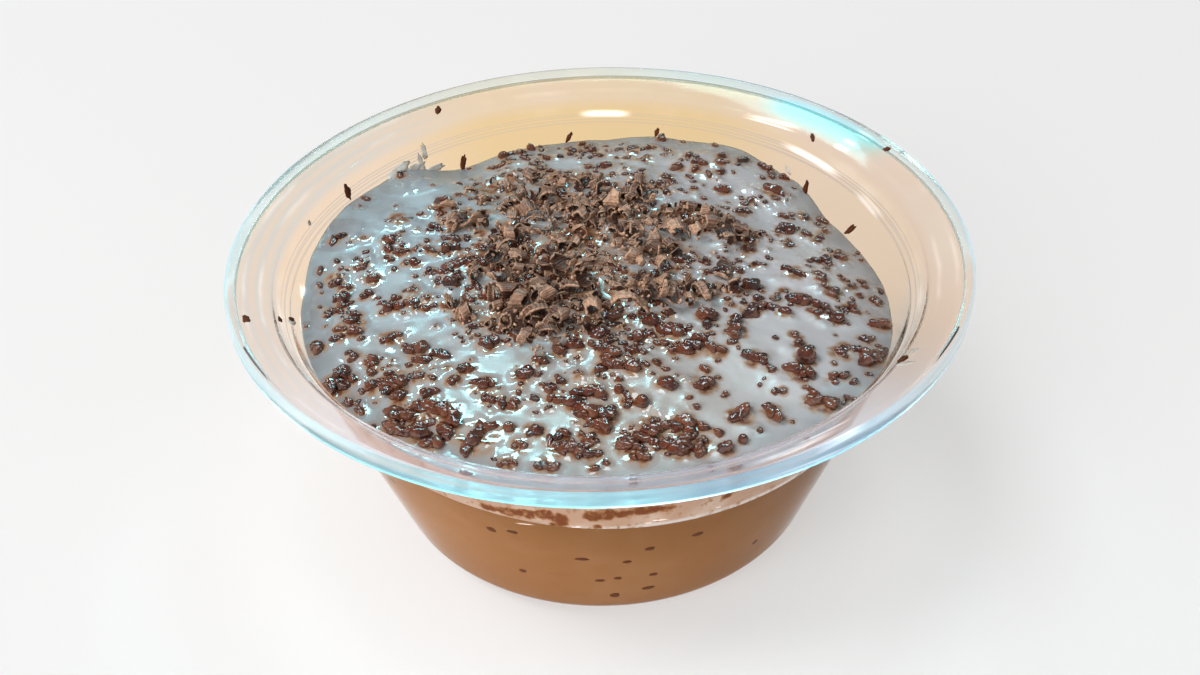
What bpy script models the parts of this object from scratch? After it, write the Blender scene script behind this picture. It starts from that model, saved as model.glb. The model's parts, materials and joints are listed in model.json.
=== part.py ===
"""Chocolate tapioca pudding in its clear round plastic cup.

The cup is one turned shell: a pushed-up floor, a leaning wall, a seat for a lid, a gently sloping
collar and a rounded lip. In it lie a caramel-brown pudding, a pale cream layer with melted chocolate
bits and beads set in it, and a loose heap of dry chocolate shavings on the middle.

Units are metres, +Z is up and the origin is the middle of the cup's foot.
"""

import math
import random

import bmesh
import bpy
from mathutils import Euler, Matrix, Vector

MM = 0.001

# Driving dimensions of the cup.
LIP_RADIUS = 58.5 * MM
CUP_HEIGHT = 46.8 * MM
WALL = 0.6 * MM
FOOT_RADIUS = 28.7 * MM
CORNER_RADIUS = 6.4 * MM
WALL_LEAN = math.radians(21.4)
FLOOR_RISE = 0.8 * MM
FLOOR_PANEL_RADIUS = 24.5 * MM
SEAT_HEIGHT = 40.7 * MM
SEAT_WIDTH = 1.2 * MM
SEAT_RISE = 0.8 * MM
COLLAR_INNER_RADIUS = 51.2 * MM
COLLAR_INNER_HEIGHT = 44.7 * MM
COLLAR_BEND = 0.9 * MM
COLLAR_OUTER_HEIGHT = 46.0 * MM
COLLAR_RIM_RUN = 2.3 * MM
COLLAR_RIM_DROP = 0.55 * MM
LIP_WIDTH = 1.9 * MM
LIP_DROP = 2.15 * MM
LIP_START = math.radians(140)
SKIRT_LEAN = 0.15 * MM
SKIRT_WIDTH = 1.2 * MM

# Driving dimensions of what is in the cup.
GAP = 0.3 * MM
PUDDING_HEIGHT = 27.0 * MM
CREAM_EDGE_HEIGHTS = tuple(height * MM for height in (35.3, 38.6, 38.1, 41.5, 38.8, 38.0, 37.6, 37.0))
CREAM_SHOULDER_HEIGHT = 35.0 * MM
CREAM_MIDDLE_HEIGHT = 41.1 * MM
CREAM_DOME_POWER = 2.4
CREAM_CALM_POWER = 6
CREAM_WAVE = 0.32 * MM
CREAM_WAVE_ACROSS = 4.9 * MM
CREAM_WAVE_AWAY = 4.1 * MM
CREAM_RIPPLE = 0.16 * MM
CREAM_RIPPLE_LENGTH = 2.9 * MM
HEAP_CENTRE = Vector((1.5 * MM, 3.0 * MM))
HEAP_RADIUS = 17.6 * MM
HEAP_LOBES = ((2, 1.56 * MM, 0.7), (3, 0.78 * MM, 2.1), (7, 0.78 * MM, 0.0))
HEAP_CORE_THICKNESS = 1.3 * MM
HEAP_CORE_RIM = 0.5 * MM
HEAP_BUMP = 0.25 * MM
HEAP_BUMP_ACROSS = 1.7 * MM
HEAP_BUMP_AWAY = 2.1 * MM
HEAP_CLEARANCE = 0.45 * MM
TOP_CLEARANCE = 0.3 * MM
BIT_UNEVENNESS = 0.16
BIT_RISE = 0.1
BEAD_UNEVENNESS = 0.02
BEAD_RISE = 0.35
SMALL_BIT_COUNT = 34
SMALL_BIT_LENGTHS = (1.7 * MM, 3.0 * MM)
SMALL_BIT_WIDTHS = (0.55, 0.9)
SMALL_BIT_HEIGHTS = (0.45, 0.7)
SMALL_BIT_UNEVENNESS = 0.1
SHAVING_COUNT = 52
SHAVING_THICKNESS = 0.4 * MM
SHAVING_SINK = 0.45 * MM
SHAVING_WIDTHS = (2.2 * MM, 3.8 * MM)
SHAVING_BEND_RADII = (0.8 * MM, 1.35 * MM)
SHAVING_BENDS = (math.radians(90), math.radians(190))
SHAVING_WIDENING = 0.5
SHAVING_TAPER = 0.35
SHAVING_ROLLS = (-0.6, 0.6)
SHAVING_PITCHES = (-1.2, 0.6)

# Resolution.
CUP_STEPS = 56
FOOD_STEPS = 48
HEAP_STEPS = 32
CREAM_RINGS = 9
HEAP_RINGS = 6
CORNER_POINTS = 4
LIP_POINTS = 5
SHAVING_SEGMENTS = 3
COARSE_SIDES = 1
FINE_SIDES = 2
FINE_LENGTH = 4.3 * MM
MERGE_DISTANCE = 0.05 * MM
SHARP_ANGLE = math.radians(40)

# Larger melted bits on the cream, in millimetres: place across, place away, length, width, height,
# and the turn of the length in degrees.
MELTED_BITS = (
    (-26.4, -31.0, 9.0, 6.5, 2.0, 10),
    (-18.5, -35.0, 7.5, 3.0, 2.0, 70),
    (-31.5, -22.5, 4.6, 4.2, 1.9, 60),
    (-39.0, -20.5, 5.0, 3.2, 1.8, 110),
    (-37.5, -9.5, 4.0, 2.2, 1.6, 20),
    (-28.4, -15.5, 4.4, 2.4, 1.6, 10),
    (-18.0, -25.0, 4.0, 2.8, 1.6, 150),
    (-10.4, -34.5, 2.8, 2.6, 1.8, 0),
    (-2.4, -27.6, 4.6, 2.4, 1.6, 15),
    (-2.0, -32.2, 4.6, 3.6, 2.0, 80),
    (-40.2, -0.5, 3.2, 2.2, 1.6, 40),
    (31.4, -5.0, 4.8, 3.2, 2.2, 160),
    (30.7, 14.5, 3.4, 3.4, 1.6, 90),
    (38.4, 7.6, 3.6, 2.2, 1.6, 120),
    (36.8, -2.5, 3.2, 2.4, 1.8, 110),
    (43.0, -10.4, 3.8, 2.2, 1.6, 160),
    (40.4, -18.4, 4.6, 3.8, 1.8, 30),
    (29.4, -24.0, 5.0, 2.4, 1.7, 165),
    (23.1, -19.9, 4.8, 2.6, 1.7, 140),
    (20.8, -13.6, 4.2, 2.6, 2.4, 95),
    (10.7, -21.6, 4.6, 3.0, 1.8, 170),
    (15.0, -26.2, 4.0, 3.0, 1.9, 30),
    (4.6, -25.6, 3.2, 2.4, 1.6, 150),
    (19.9, -32.4, 4.4, 2.4, 1.8, 50),
    (25.0, -31.4, 4.0, 2.4, 1.8, 110),
    (32.0, -29.0, 4.8, 4.2, 1.9, 40),
    (3.8, -38.3, 4.6, 3.6, 1.8, 20),
    (9.6, -35.6, 6.0, 3.2, 2.0, 160),
    (14.2, -39.4, 4.2, 2.0, 1.7, 95),
    (29.9, 28.3, 4.4, 2.6, 1.6, 170),
    (18.0, 37.5, 3.4, 2.2, 1.5, 0),
    (-26.0, 26.8, 3.4, 2.6, 1.6, 10),
    (-32.7, 11.4, 2.6, 2.2, 1.5, 0),
    (-8.0, 39.0, 4.2, 2.4, 1.5, 20),
    (6.0, 39.6, 3.6, 2.2, 1.5, 170),
    (-39.5, 8.6, 2.8, 2.2, 1.5, 45),
    (36.9, 18.5, 2.8, 2.2, 1.5, 140),
)

# Round beads under a chocolate skin, in millimetres: place across, place away, radius.
BEADS = (
    (30.8, -19.4, 1.7),
    (5.7, -30.0, 1.3),
    (-21.8, -31.0, 1.4),
    (0.8, -23.6, 1.2),
    (-24.0, -20.0, 1.3),
    (36.0, -14.5, 1.3),
    (-34.5, 19.0, 1.3),
    (24.5, 22.5, 1.3),
    (-30.5, -3.5, 1.3),
    (-14.5, 31.5, 1.3),
)


def clear_scene():
    """Removes what a new file holds."""
    for found in list(bpy.data.objects):
        bpy.data.objects.remove(found, do_unlink=True)


def make_collection(name):
    """A collection in the scene."""
    collection = bpy.data.collections.new(name)
    bpy.context.scene.collection.children.link(collection)
    return collection


def make_material(name, colour, roughness, alpha=1.0):
    """A Principled material of one colour."""
    material = bpy.data.materials.new(name)
    material.use_nodes = True
    shader = material.node_tree.nodes["Principled BSDF"]
    shader.inputs["Base Color"].default_value = (*colour, 1.0)
    shader.inputs["Roughness"].default_value = roughness
    shader.inputs["Metallic"].default_value = 0.0
    shader.inputs["Alpha"].default_value = alpha
    return material


def make_object(name, mesh, collection, material):
    """An object with its material, shaded smooth but for its sharp edges."""
    made = bpy.data.objects.new(name, mesh)
    collection.objects.link(made)
    if not mesh.materials:
        mesh.materials.append(material)
    mesh.shade_smooth()
    mesh.set_sharp_from_angle(angle=SHARP_ANGLE)
    return made


def applied(source):
    """The mesh of an object with its modifiers applied, which stays on the object in their place."""
    graph = bpy.context.evaluated_depsgraph_get()
    mesh = bpy.data.meshes.new_from_object(source.evaluated_get(graph))
    source.modifiers.clear()
    source.data = mesh
    return mesh


def turned(name, profile, steps, collection, material):
    """A solid turned about Z from a profile of (radius, height) points that runs down its outer side."""
    mesh = bpy.data.meshes.new(name)
    shape = bmesh.new()
    corners = [shape.verts.new((radius, 0.0, height)) for radius, height in profile]
    for upper, lower in zip(corners, corners[1:]):
        shape.edges.new((upper, lower))
    shape.to_mesh(mesh)
    shape.free()
    made = bpy.data.objects.new(name, mesh)
    collection.objects.link(made)
    screw = made.modifiers.new("turn", "SCREW")
    screw.axis = "Z"
    screw.steps = steps
    screw.render_steps = steps
    screw.use_merge_vertices = True
    screw.merge_threshold = MERGE_DISTANCE
    screw.use_smooth_shade = True
    applied(made)
    made.data.materials.append(material)
    made.data.set_sharp_from_angle(angle=SHARP_ANGLE)
    return made


def arc(centre, radius, start, end, count):
    """Points of (radius, height) on an arc, both ends included."""
    points = []
    for step in range(count):
        angle = start + (end - start) * step / (count - 1)
        points.append((centre[0] + radius * math.cos(angle), centre[1] + radius * math.sin(angle)))
    return points


def wall_radius(height, inset):
    """Radius of the leaning wall at a height, moved inwards by inset from the cup's outside."""
    start = FOOT_RADIUS + CORNER_RADIUS * math.cos(WALL_LEAN)
    start_height = CORNER_RADIUS * (1 - math.sin(WALL_LEAN))
    return start + (height - start_height) * math.tan(WALL_LEAN) - inset / math.cos(WALL_LEAN)


def floor_and_corner(inset):
    """The cup's floor and lower corner, moved inwards by inset, from the middle outwards."""
    centre = (FOOT_RADIUS, CORNER_RADIUS)
    corner = arc(centre, CORNER_RADIUS - inset, -math.pi / 2, -WALL_LEAN, CORNER_POINTS)
    return [
        (0.0, FLOOR_RISE + inset),
        (FLOOR_PANEL_RADIUS, FLOOR_RISE + inset),
        (FLOOR_PANEL_RADIUS + 2 * FLOOR_RISE, inset),
        *corner,
    ]


def offset_path(points, distance):
    """A path moved sideways, to the right of its run, with its corners mitred."""
    moved = []
    for index, point in enumerate(points):
        before = Vector(points[max(index - 1, 0)])
        after = Vector(points[min(index + 1, len(points) - 1)])
        here = Vector(point)
        into = (here - before).normalized() if index > 0 else (after - here).normalized()
        out = (after - here).normalized() if index < len(points) - 1 else into
        side = (Vector((into.y, -into.x)) + Vector((out.y, -out.x))).normalized()
        reach = distance / max(side.dot(Vector((into.y, -into.x))), 0.5)
        moved.append((max(here.x + side.x * reach, 0.0), here.y + side.y * reach))
    return moved


def cup_profile():
    """Down from the floor's middle inside, up the inner side, over the lip and down the outer side."""
    seat_radius = wall_radius(SEAT_HEIGHT, WALL)
    lip_inner = LIP_RADIUS - LIP_WIDTH
    inside = floor_and_corner(WALL)
    inside += [
        (seat_radius, SEAT_HEIGHT),
        (seat_radius + 0.5 * SEAT_WIDTH, SEAT_HEIGHT + 0.3 * SEAT_RISE),
        (seat_radius + SEAT_WIDTH, SEAT_HEIGHT + SEAT_RISE),
        (COLLAR_INNER_RADIUS - 0.4 * COLLAR_BEND, COLLAR_INNER_HEIGHT - 0.8 * COLLAR_BEND),
        (COLLAR_INNER_RADIUS + 0.2 * COLLAR_BEND, COLLAR_INNER_HEIGHT - 0.1 * COLLAR_BEND),
        (COLLAR_INNER_RADIUS + COLLAR_BEND, COLLAR_INNER_HEIGHT + 0.15 * COLLAR_BEND),
        (lip_inner - COLLAR_RIM_RUN, COLLAR_OUTER_HEIGHT - COLLAR_RIM_DROP),
        (lip_inner, COLLAR_OUTER_HEIGHT),
    ]
    outside = offset_path(inside, WALL)
    outside[0] = (0.0, FLOOR_RISE)
    bead = 0.47 * LIP_WIDTH
    lip = arc((LIP_RADIUS - bead, CUP_HEIGHT - bead), bead, LIP_START, 0.0, LIP_POINTS)
    lip += [
        (LIP_RADIUS - SKIRT_LEAN, CUP_HEIGHT - LIP_DROP),
        (LIP_RADIUS - SKIRT_WIDTH, CUP_HEIGHT - LIP_DROP),
        (LIP_RADIUS - SKIRT_WIDTH - SKIRT_LEAN, COLLAR_OUTER_HEIGHT - WALL),
    ]
    return inside + lip + outside[::-1]


def cream_edge(angle):
    """Height at which the cream meets the wall, eased between the heights given round the cup."""
    step = (angle % math.tau) / math.tau * len(CREAM_EDGE_HEIGHTS)
    index = int(step) % len(CREAM_EDGE_HEIGHTS)
    share = 0.5 - 0.5 * math.cos(math.pi * (step - int(step)))
    here = CREAM_EDGE_HEIGHTS[index]
    after = CREAM_EDGE_HEIGHTS[(index + 1) % len(CREAM_EDGE_HEIGHTS)]
    return here + (after - here) * share


def cream_top(across, away):
    """Height of the cream's upper face: a low dome with soft waves that die out at the wall."""
    rim = cream_edge(math.atan2(away, across))
    part = min(math.hypot(across, away) / wall_radius(rim, WALL + GAP), 1.0)
    dome = CREAM_MIDDLE_HEIGHT + (rim - CREAM_MIDDLE_HEIGHT) * part**CREAM_DOME_POWER
    wave = CREAM_WAVE * math.sin(across / CREAM_WAVE_ACROSS + 0.6) * math.cos(away / CREAM_WAVE_AWAY - 0.4)
    ripple = CREAM_RIPPLE * math.sin((across + away) / CREAM_RIPPLE_LENGTH + 1.0)
    return dome + (wave + ripple) * (1 - part**CREAM_CALM_POWER)


def heap_reach(angle):
    """Radius of the heap's uneven outline about its own centre."""
    return HEAP_RADIUS + sum(depth * math.sin(lobes * angle + start) for lobes, depth, start in HEAP_LOBES)


def heap_share(across, away):
    """How far a place lies from the heap's centre, as a share of the outline there."""
    from_centre = Vector((across, away)) - HEAP_CENTRE
    return from_centre.length / heap_reach(math.atan2(from_centre.y, from_centre.x))


def heap_core_top(across, away):
    """Height of the heap's core."""
    share = min(heap_share(across, away), 1.0)
    bump = HEAP_BUMP * math.sin(across / HEAP_BUMP_ACROSS) * math.sin(away / HEAP_BUMP_AWAY)
    thickness = HEAP_CORE_RIM + (HEAP_CORE_THICKNESS - HEAP_CORE_RIM) * (1 - share**2)
    return cream_top(across, away) + HEAP_CLEARANCE + thickness + bump * (1 - share)


def build_cup(collection):
    """The clear cup, one turned shell."""
    clear = make_material("clear_plastic", (0.86, 0.80, 0.72), 0.08, 0.3)
    return turned("cup", cup_profile(), CUP_STEPS, collection, clear)


def build_pudding(collection):
    """The caramel-brown pudding, up to its line on the wall."""
    caramel = make_material("caramel_pudding", (0.34, 0.155, 0.055), 0.45)
    inset = WALL + GAP
    profile = [(0.0, PUDDING_HEIGHT), (wall_radius(PUDDING_HEIGHT, inset), PUDDING_HEIGHT)]
    profile += floor_and_corner(inset)[::-1]
    return turned("pudding", profile, FOOD_STEPS, collection, caramel)


def drop_scraps(mesh):
    """Keeps the largest closed shell of a mesh, so that no scrap and no sealed hollow is left."""
    shape = bmesh.new()
    shape.from_mesh(mesh)
    unseen = set(shape.faces)
    shells = []
    while unseen:
        front = [unseen.pop()]
        shell = list(front)
        while front:
            face = front.pop()
            for edge in face.edges:
                for other in edge.link_faces:
                    if other in unseen:
                        unseen.remove(other)
                        front.append(other)
                        shell.append(other)
        shells.append(shell)
    shells.sort(key=len, reverse=True)
    for shell in shells[1:]:
        bmesh.ops.delete(shape, geom=shell, context="FACES")
    loose = [corner for corner in shape.verts if not corner.link_faces]
    bmesh.ops.delete(shape, geom=loose, context="VERTS")
    shape.to_mesh(mesh)
    shape.free()


def fuse(body, pieces):
    """Joins a collection's pieces to a body and removes the collection."""
    union = body.modifiers.new("fuse", "BOOLEAN")
    union.operation = "UNION"
    union.operand_type = "COLLECTION"
    union.collection = pieces
    union.solver = "EXACT"
    union.material_mode = "TRANSFER"
    mesh = applied(body)
    for piece in list(pieces.objects):
        bpy.data.objects.remove(piece, do_unlink=True)
    bpy.data.collections.remove(pieces)
    drop_scraps(mesh)
    mesh.set_sharp_from_angle(angle=SHARP_ANGLE)


def lump(name, place, size, turn, sides, unevenness, draw, collection, material):
    """An uneven rounded lump; size is its length, width and height."""
    shape = bmesh.new()
    bmesh.ops.create_icosphere(shape, subdivisions=sides, radius=0.5)
    for corner in shape.verts:
        corner.co *= 1 + unevenness * draw.uniform(-1, 1)
    stretch = Matrix.Diagonal((*size, 1.0))
    shape.transform(Matrix.Translation(place) @ Matrix.Rotation(turn, 4, "Z") @ stretch)
    mesh = bpy.data.meshes.new(name)
    shape.to_mesh(mesh)
    shape.free()
    return make_object(name, mesh, collection, material)


def bit_fits(across, away, reach):
    """Whether a bit stays clear of the heap and of the wall."""
    clear_of_heap = heap_share(across, away) * HEAP_RADIUS > HEAP_RADIUS + reach + 2 * GAP
    edge = wall_radius(cream_edge(math.atan2(away, across)), WALL + 2 * GAP)
    clear_of_wall = math.hypot(across, away) + reach < edge
    return clear_of_heap and clear_of_wall


def add_melted_bits(draw, collection, material):
    """The larger melted bits, the beads and the small bits between them."""
    taken = []
    for across, away, length, width, height, turn in MELTED_BITS:
        place = Vector((across * MM, away * MM))
        reach = 0.5 * length * MM
        if not bit_fits(place.x, place.y, reach):
            continue
        taken.append((place, reach))
        centre = (place.x, place.y, cream_top(place.x, place.y) + BIT_RISE * height * MM)
        size = (length * MM, width * MM, height * MM)
        sides = FINE_SIDES if length * MM > FINE_LENGTH else COARSE_SIDES
        lump("bit", centre, size, math.radians(turn), sides, BIT_UNEVENNESS, draw, collection, material)
    for across, away, radius in BEADS:
        place = Vector((across * MM, away * MM))
        if not bit_fits(place.x, place.y, radius * MM):
            continue
        taken.append((place, radius * MM))
        centre = (place.x, place.y, cream_top(place.x, place.y) + BEAD_RISE * radius * MM)
        size = (2 * radius * MM, 2 * radius * MM, 2 * radius * MM)
        lump("bead", centre, size, 0.0, FINE_SIDES, BEAD_UNEVENNESS, draw, collection, material)
    made = 0
    while made < SMALL_BIT_COUNT:
        spread = wall_radius(max(CREAM_EDGE_HEIGHTS), WALL) * math.sqrt(draw.random())
        angle = draw.uniform(0, math.tau)
        place = Vector((spread * math.cos(angle), spread * math.sin(angle)))
        length = draw.uniform(*SMALL_BIT_LENGTHS)
        apart = all((place - other).length > reach + 0.5 * length + GAP for other, reach in taken)
        if not apart or not bit_fits(place.x, place.y, 0.5 * length):
            continue
        width = length * draw.uniform(*SMALL_BIT_WIDTHS)
        height = length * draw.uniform(*SMALL_BIT_HEIGHTS)
        centre = (place.x, place.y, cream_top(place.x, place.y) + BIT_RISE * height)
        size = (length, width, height)
        turn = draw.uniform(0, math.pi)
        lump("bit", centre, size, turn, COARSE_SIDES, SMALL_BIT_UNEVENNESS, draw, collection, material)
        taken.append((place, 0.5 * length))
        made += 1


def build_cream(collection):
    """The pale cream layer with its melted chocolate bits and beads."""
    cream = make_material("pale_cream", (0.37, 0.33, 0.29), 0.2)
    chocolate = make_material("melted_chocolate", (0.10, 0.035, 0.018), 0.18)
    base = PUDDING_HEIGHT + GAP
    shoulder = wall_radius(CREAM_SHOULDER_HEIGHT, WALL + GAP)
    profile = [(shoulder * ring / CREAM_RINGS, CREAM_SHOULDER_HEIGHT) for ring in range(CREAM_RINGS + 1)]
    profile += [(wall_radius(base, WALL + GAP), base), (0.0, base)]
    made = turned("cream", profile, FOOD_STEPS, collection, cream)
    for corner in made.data.vertices:
        if corner.co.z > CREAM_SHOULDER_HEIGHT - GAP:
            angle = math.atan2(corner.co.y, corner.co.x)
            widen = wall_radius(cream_edge(angle), WALL + GAP) / shoulder
            across = corner.co.x * widen
            away = corner.co.y * widen
            corner.co = Vector((across, away, cream_top(across, away)))
    made.data.materials.append(chocolate)
    pieces = make_collection("cream_pieces")
    add_melted_bits(random.Random(11), pieces, chocolate)
    fuse(made, pieces)
    return made


def shaving(name, width, bend_radius, bend, matrix, collection, material):
    """A strip rolled into part of a widening curl, with one end cut narrower."""
    shape = bmesh.new()
    bmesh.ops.create_grid(shape, x_segments=SHAVING_SEGMENTS, y_segments=1, size=0.5)
    for corner in shape.verts:
        along = corner.co.x + 0.5
        radius = bend_radius * (1 + SHAVING_WIDENING * along)
        angle = bend * along
        across = corner.co.y * width * (1 - SHAVING_TAPER * along)
        corner.co = Vector((radius * math.sin(angle), across, radius * (1 - math.cos(angle))))
    shape.normal_update()
    bmesh.ops.solidify(shape, geom=list(shape.faces), thickness=SHAVING_THICKNESS)
    bmesh.ops.triangulate(shape, faces=list(shape.faces))
    bmesh.ops.recalc_face_normals(shape, faces=list(shape.faces))
    shape.transform(matrix)
    mesh = bpy.data.meshes.new(name)
    shape.to_mesh(mesh)
    shape.free()
    return make_object(name, mesh, collection, material)


def settle(piece, place):
    """Lowers a shaving onto the core, clear of the cream and of the lip's plane; says whether it fits."""
    corners = piece.data.vertices
    lowest = min(corner.co.z for corner in corners)
    drop = heap_core_top(place.x, place.y) - SHAVING_SINK - lowest
    piece.data.transform(Matrix.Translation((0.0, 0.0, drop)))
    clear = min(corner.co.z - cream_top(corner.co.x, corner.co.y) for corner in corners)
    highest = max(corner.co.z for corner in corners)
    return clear > HEAP_CLEARANCE and highest < CUP_HEIGHT - TOP_CLEARANCE


def build_shavings(collection):
    """The heap of dry shavings: a thin core that follows the cream, with curls fused on it."""
    milk = make_material("dry_chocolate", (0.17, 0.075, 0.04), 0.6)
    profile = [(ring / HEAP_RINGS, 1.0) for ring in range(HEAP_RINGS + 1)]
    profile += [(ring / HEAP_RINGS, 0.0) for ring in range(HEAP_RINGS, -1, -1)]
    made = turned("shavings", profile, HEAP_STEPS, collection, milk)
    for corner in made.data.vertices:
        share = math.hypot(corner.co.x, corner.co.y)
        angle = math.atan2(corner.co.y, corner.co.x)
        across = HEAP_CENTRE.x + share * heap_reach(angle) * math.cos(angle)
        away = HEAP_CENTRE.y + share * heap_reach(angle) * math.sin(angle)
        on_top = corner.co.z > 0.5
        height = heap_core_top(across, away) if on_top else cream_top(across, away) + HEAP_CLEARANCE
        corner.co = Vector((across, away, height))
    pieces = make_collection("shaving_pieces")
    draw = random.Random(5)
    made_count = 0
    while made_count < SHAVING_COUNT:
        share = math.sqrt(draw.random())
        angle = draw.uniform(0, math.tau)
        reach = share * heap_reach(angle)
        place = HEAP_CENTRE + Vector((reach * math.cos(angle), reach * math.sin(angle)))
        roll = draw.uniform(*SHAVING_ROLLS)
        pitch = draw.uniform(*SHAVING_PITCHES)
        tilt = Euler((roll, pitch, draw.uniform(0, math.tau)))
        matrix = Matrix.Translation((place.x, place.y, 0.0)) @ tilt.to_matrix().to_4x4()
        width = draw.uniform(*SHAVING_WIDTHS)
        bend_radius = draw.uniform(*SHAVING_BEND_RADII)
        bend = draw.uniform(*SHAVING_BENDS)
        piece = shaving("curl", width, bend_radius, bend, matrix, pieces, milk)
        if settle(piece, place):
            made_count += 1
        else:
            bpy.data.objects.remove(piece, do_unlink=True)
    fuse(made, pieces)
    return made


def main():
    """Builds every part into the object's collection."""
    clear_scene()
    collection = make_collection("chocolate_tapioca_pudding")
    build_cup(collection)
    build_pudding(collection)
    build_cream(collection)
    build_shavings(collection)


main()
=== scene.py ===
"""Looks of the chocolate tapioca pudding in its clear round cup.

The clear cup, the caramel-brown pudding, the pale cream with its melted chocolate and tapioca beads, and
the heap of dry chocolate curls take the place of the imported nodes. Everything is in metres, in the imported
model's own frame: +Z is up, -Y is towards the viewer and the origin is the middle of the cup's foot.
"""

import json
import logging
import math
import random
from collections.abc import Callable, Sequence
from dataclasses import dataclass
from enum import Enum

import bmesh
import bpy
import numpy as np
from bpy.types import Material, Mesh, Object
from mathutils import Euler, Matrix, Vector, noise
from mathutils.bvhtree import BVHTree

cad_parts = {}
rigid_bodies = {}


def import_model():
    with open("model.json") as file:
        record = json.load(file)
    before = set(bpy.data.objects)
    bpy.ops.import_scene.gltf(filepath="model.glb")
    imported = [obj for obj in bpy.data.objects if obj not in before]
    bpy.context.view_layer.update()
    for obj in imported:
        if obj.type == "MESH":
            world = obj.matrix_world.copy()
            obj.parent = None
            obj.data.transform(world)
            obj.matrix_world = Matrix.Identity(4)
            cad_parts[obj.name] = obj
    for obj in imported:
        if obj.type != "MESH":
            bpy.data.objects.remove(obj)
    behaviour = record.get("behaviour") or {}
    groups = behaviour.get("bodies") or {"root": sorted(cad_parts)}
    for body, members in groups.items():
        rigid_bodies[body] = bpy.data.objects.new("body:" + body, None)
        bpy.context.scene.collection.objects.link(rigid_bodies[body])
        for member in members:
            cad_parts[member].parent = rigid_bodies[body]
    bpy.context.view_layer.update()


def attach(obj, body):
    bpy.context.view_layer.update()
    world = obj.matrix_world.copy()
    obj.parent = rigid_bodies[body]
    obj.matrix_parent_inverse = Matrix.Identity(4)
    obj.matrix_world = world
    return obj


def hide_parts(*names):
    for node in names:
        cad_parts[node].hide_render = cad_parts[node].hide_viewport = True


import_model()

LOG = logging.getLogger("chocolate_tapioca_pudding")
MM = 0.001
BODY = "root"
WHITE = (1.0, 1.0, 1.0)
BLACK = (0.0, 0.0, 0.0)
SMOOTHLY = {"interpolation_type": "SMOOTHSTEP"}
SEEDS = {"specks": 23, "bits": 31, "pearls": 47, "lumps": 53, "curls": 61, "crumbs": 71, "clinging": 83}

# What one pixel of the photograph spans on the cream and on the near wall, in metres.
ON_CREAM = 0.157 * MM
ON_WALL = 0.148 * MM

Colour = tuple[float, float, float]
Pixel = tuple[float, float]
Patch = tuple[float, float, float, float]
Profile = list[tuple[float, float]]


# Node trees


class Value:
    """A socket's value in a node tree. Sums and products of values add their Math nodes."""

    def __init__(self, network: "Network", socket: bpy.types.NodeSocket) -> None:
        """Keeps an output socket and the tree that it is in."""
        self.network = network
        self.socket = socket

    def other(self, name: str) -> "Value":
        """Another output of the same node."""
        return Value(self.network, self.socket.node.outputs[name])

    def math(self, operation: str, *others: "Value | float") -> "Value":
        """Adds a Math node, such as SINE, with this value first and any others after it."""
        inputs = dict(enumerate((self, *others)))
        return self.network.add("ShaderNodeMath", {"operation": operation}, inputs)

    def __add__(self, other: "Value | float") -> "Value":
        """This plus other."""
        return self.math("ADD", other)

    __radd__ = __add__

    def __sub__(self, other: "Value | float") -> "Value":
        """This minus other."""
        return self.math("SUBTRACT", other)

    def __rsub__(self, other: float) -> "Value":
        """A number minus this."""
        return self.network.add("ShaderNodeMath", {"operation": "SUBTRACT"}, {0: other, 1: self})

    def __mul__(self, other: "Value | float") -> "Value":
        """This times other."""
        return self.math("MULTIPLY", other)

    __rmul__ = __mul__

    def __truediv__(self, other: "Value | float") -> "Value":
        """This divided by other."""
        return self.math("DIVIDE", other)

    def clamped(self) -> "Value":
        """This kept between 0 and 1."""
        return self.network.add("ShaderNodeClamp", None, {0: self})

    def rise(self, low: float, high: float) -> "Value":
        """Eases from 0 at low to 1 at high; low may be the larger one."""
        ends = (low, high, 0.0, 1.0) if low < high else (high, low, 1.0, 0.0)
        return self.network.add("ShaderNodeMapRange", SMOOTHLY, dict(enumerate((self, *ends))))

    def band(self, centre: float, half_width: float) -> "Value":
        """1 at centre, easing to 0 at half_width on either side."""
        return (self - centre).math("ABSOLUTE").rise(half_width, 0.0)


class Network:
    """A node tree under construction, for a finish or for a shape."""

    def __init__(self, tree: bpy.types.NodeTree) -> None:
        """Empties a node tree and keeps it."""
        self.tree = tree
        tree.nodes.clear()

    def add(
        self,
        kind: str,
        settings: dict[str, object] | None = None,
        inputs: dict[str | int, object] | None = None,
        output: str | int = 0,
    ) -> Value:
        """Adds a node.

        Args:
            kind: The node's type.
            settings: Its properties, set first.
            inputs: Numbers, colours or Values to link, by socket name or number.
            output: The output to hand back.

        Returns:
            That output.
        """
        node = self.tree.nodes.new(kind)
        for name, setting in (settings or {}).items():
            setattr(node, name, setting)
        for name, given in (inputs or {}).items():
            socket = node.inputs[name]
            if isinstance(given, Value):
                self.tree.links.new(given.socket, socket)
            else:
                socket.default_value = (*given, 1.0) if socket.type == "RGBA" else given
        return Value(self, node.outputs[output]) if node.outputs else Value(self, node.inputs[0])


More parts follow.
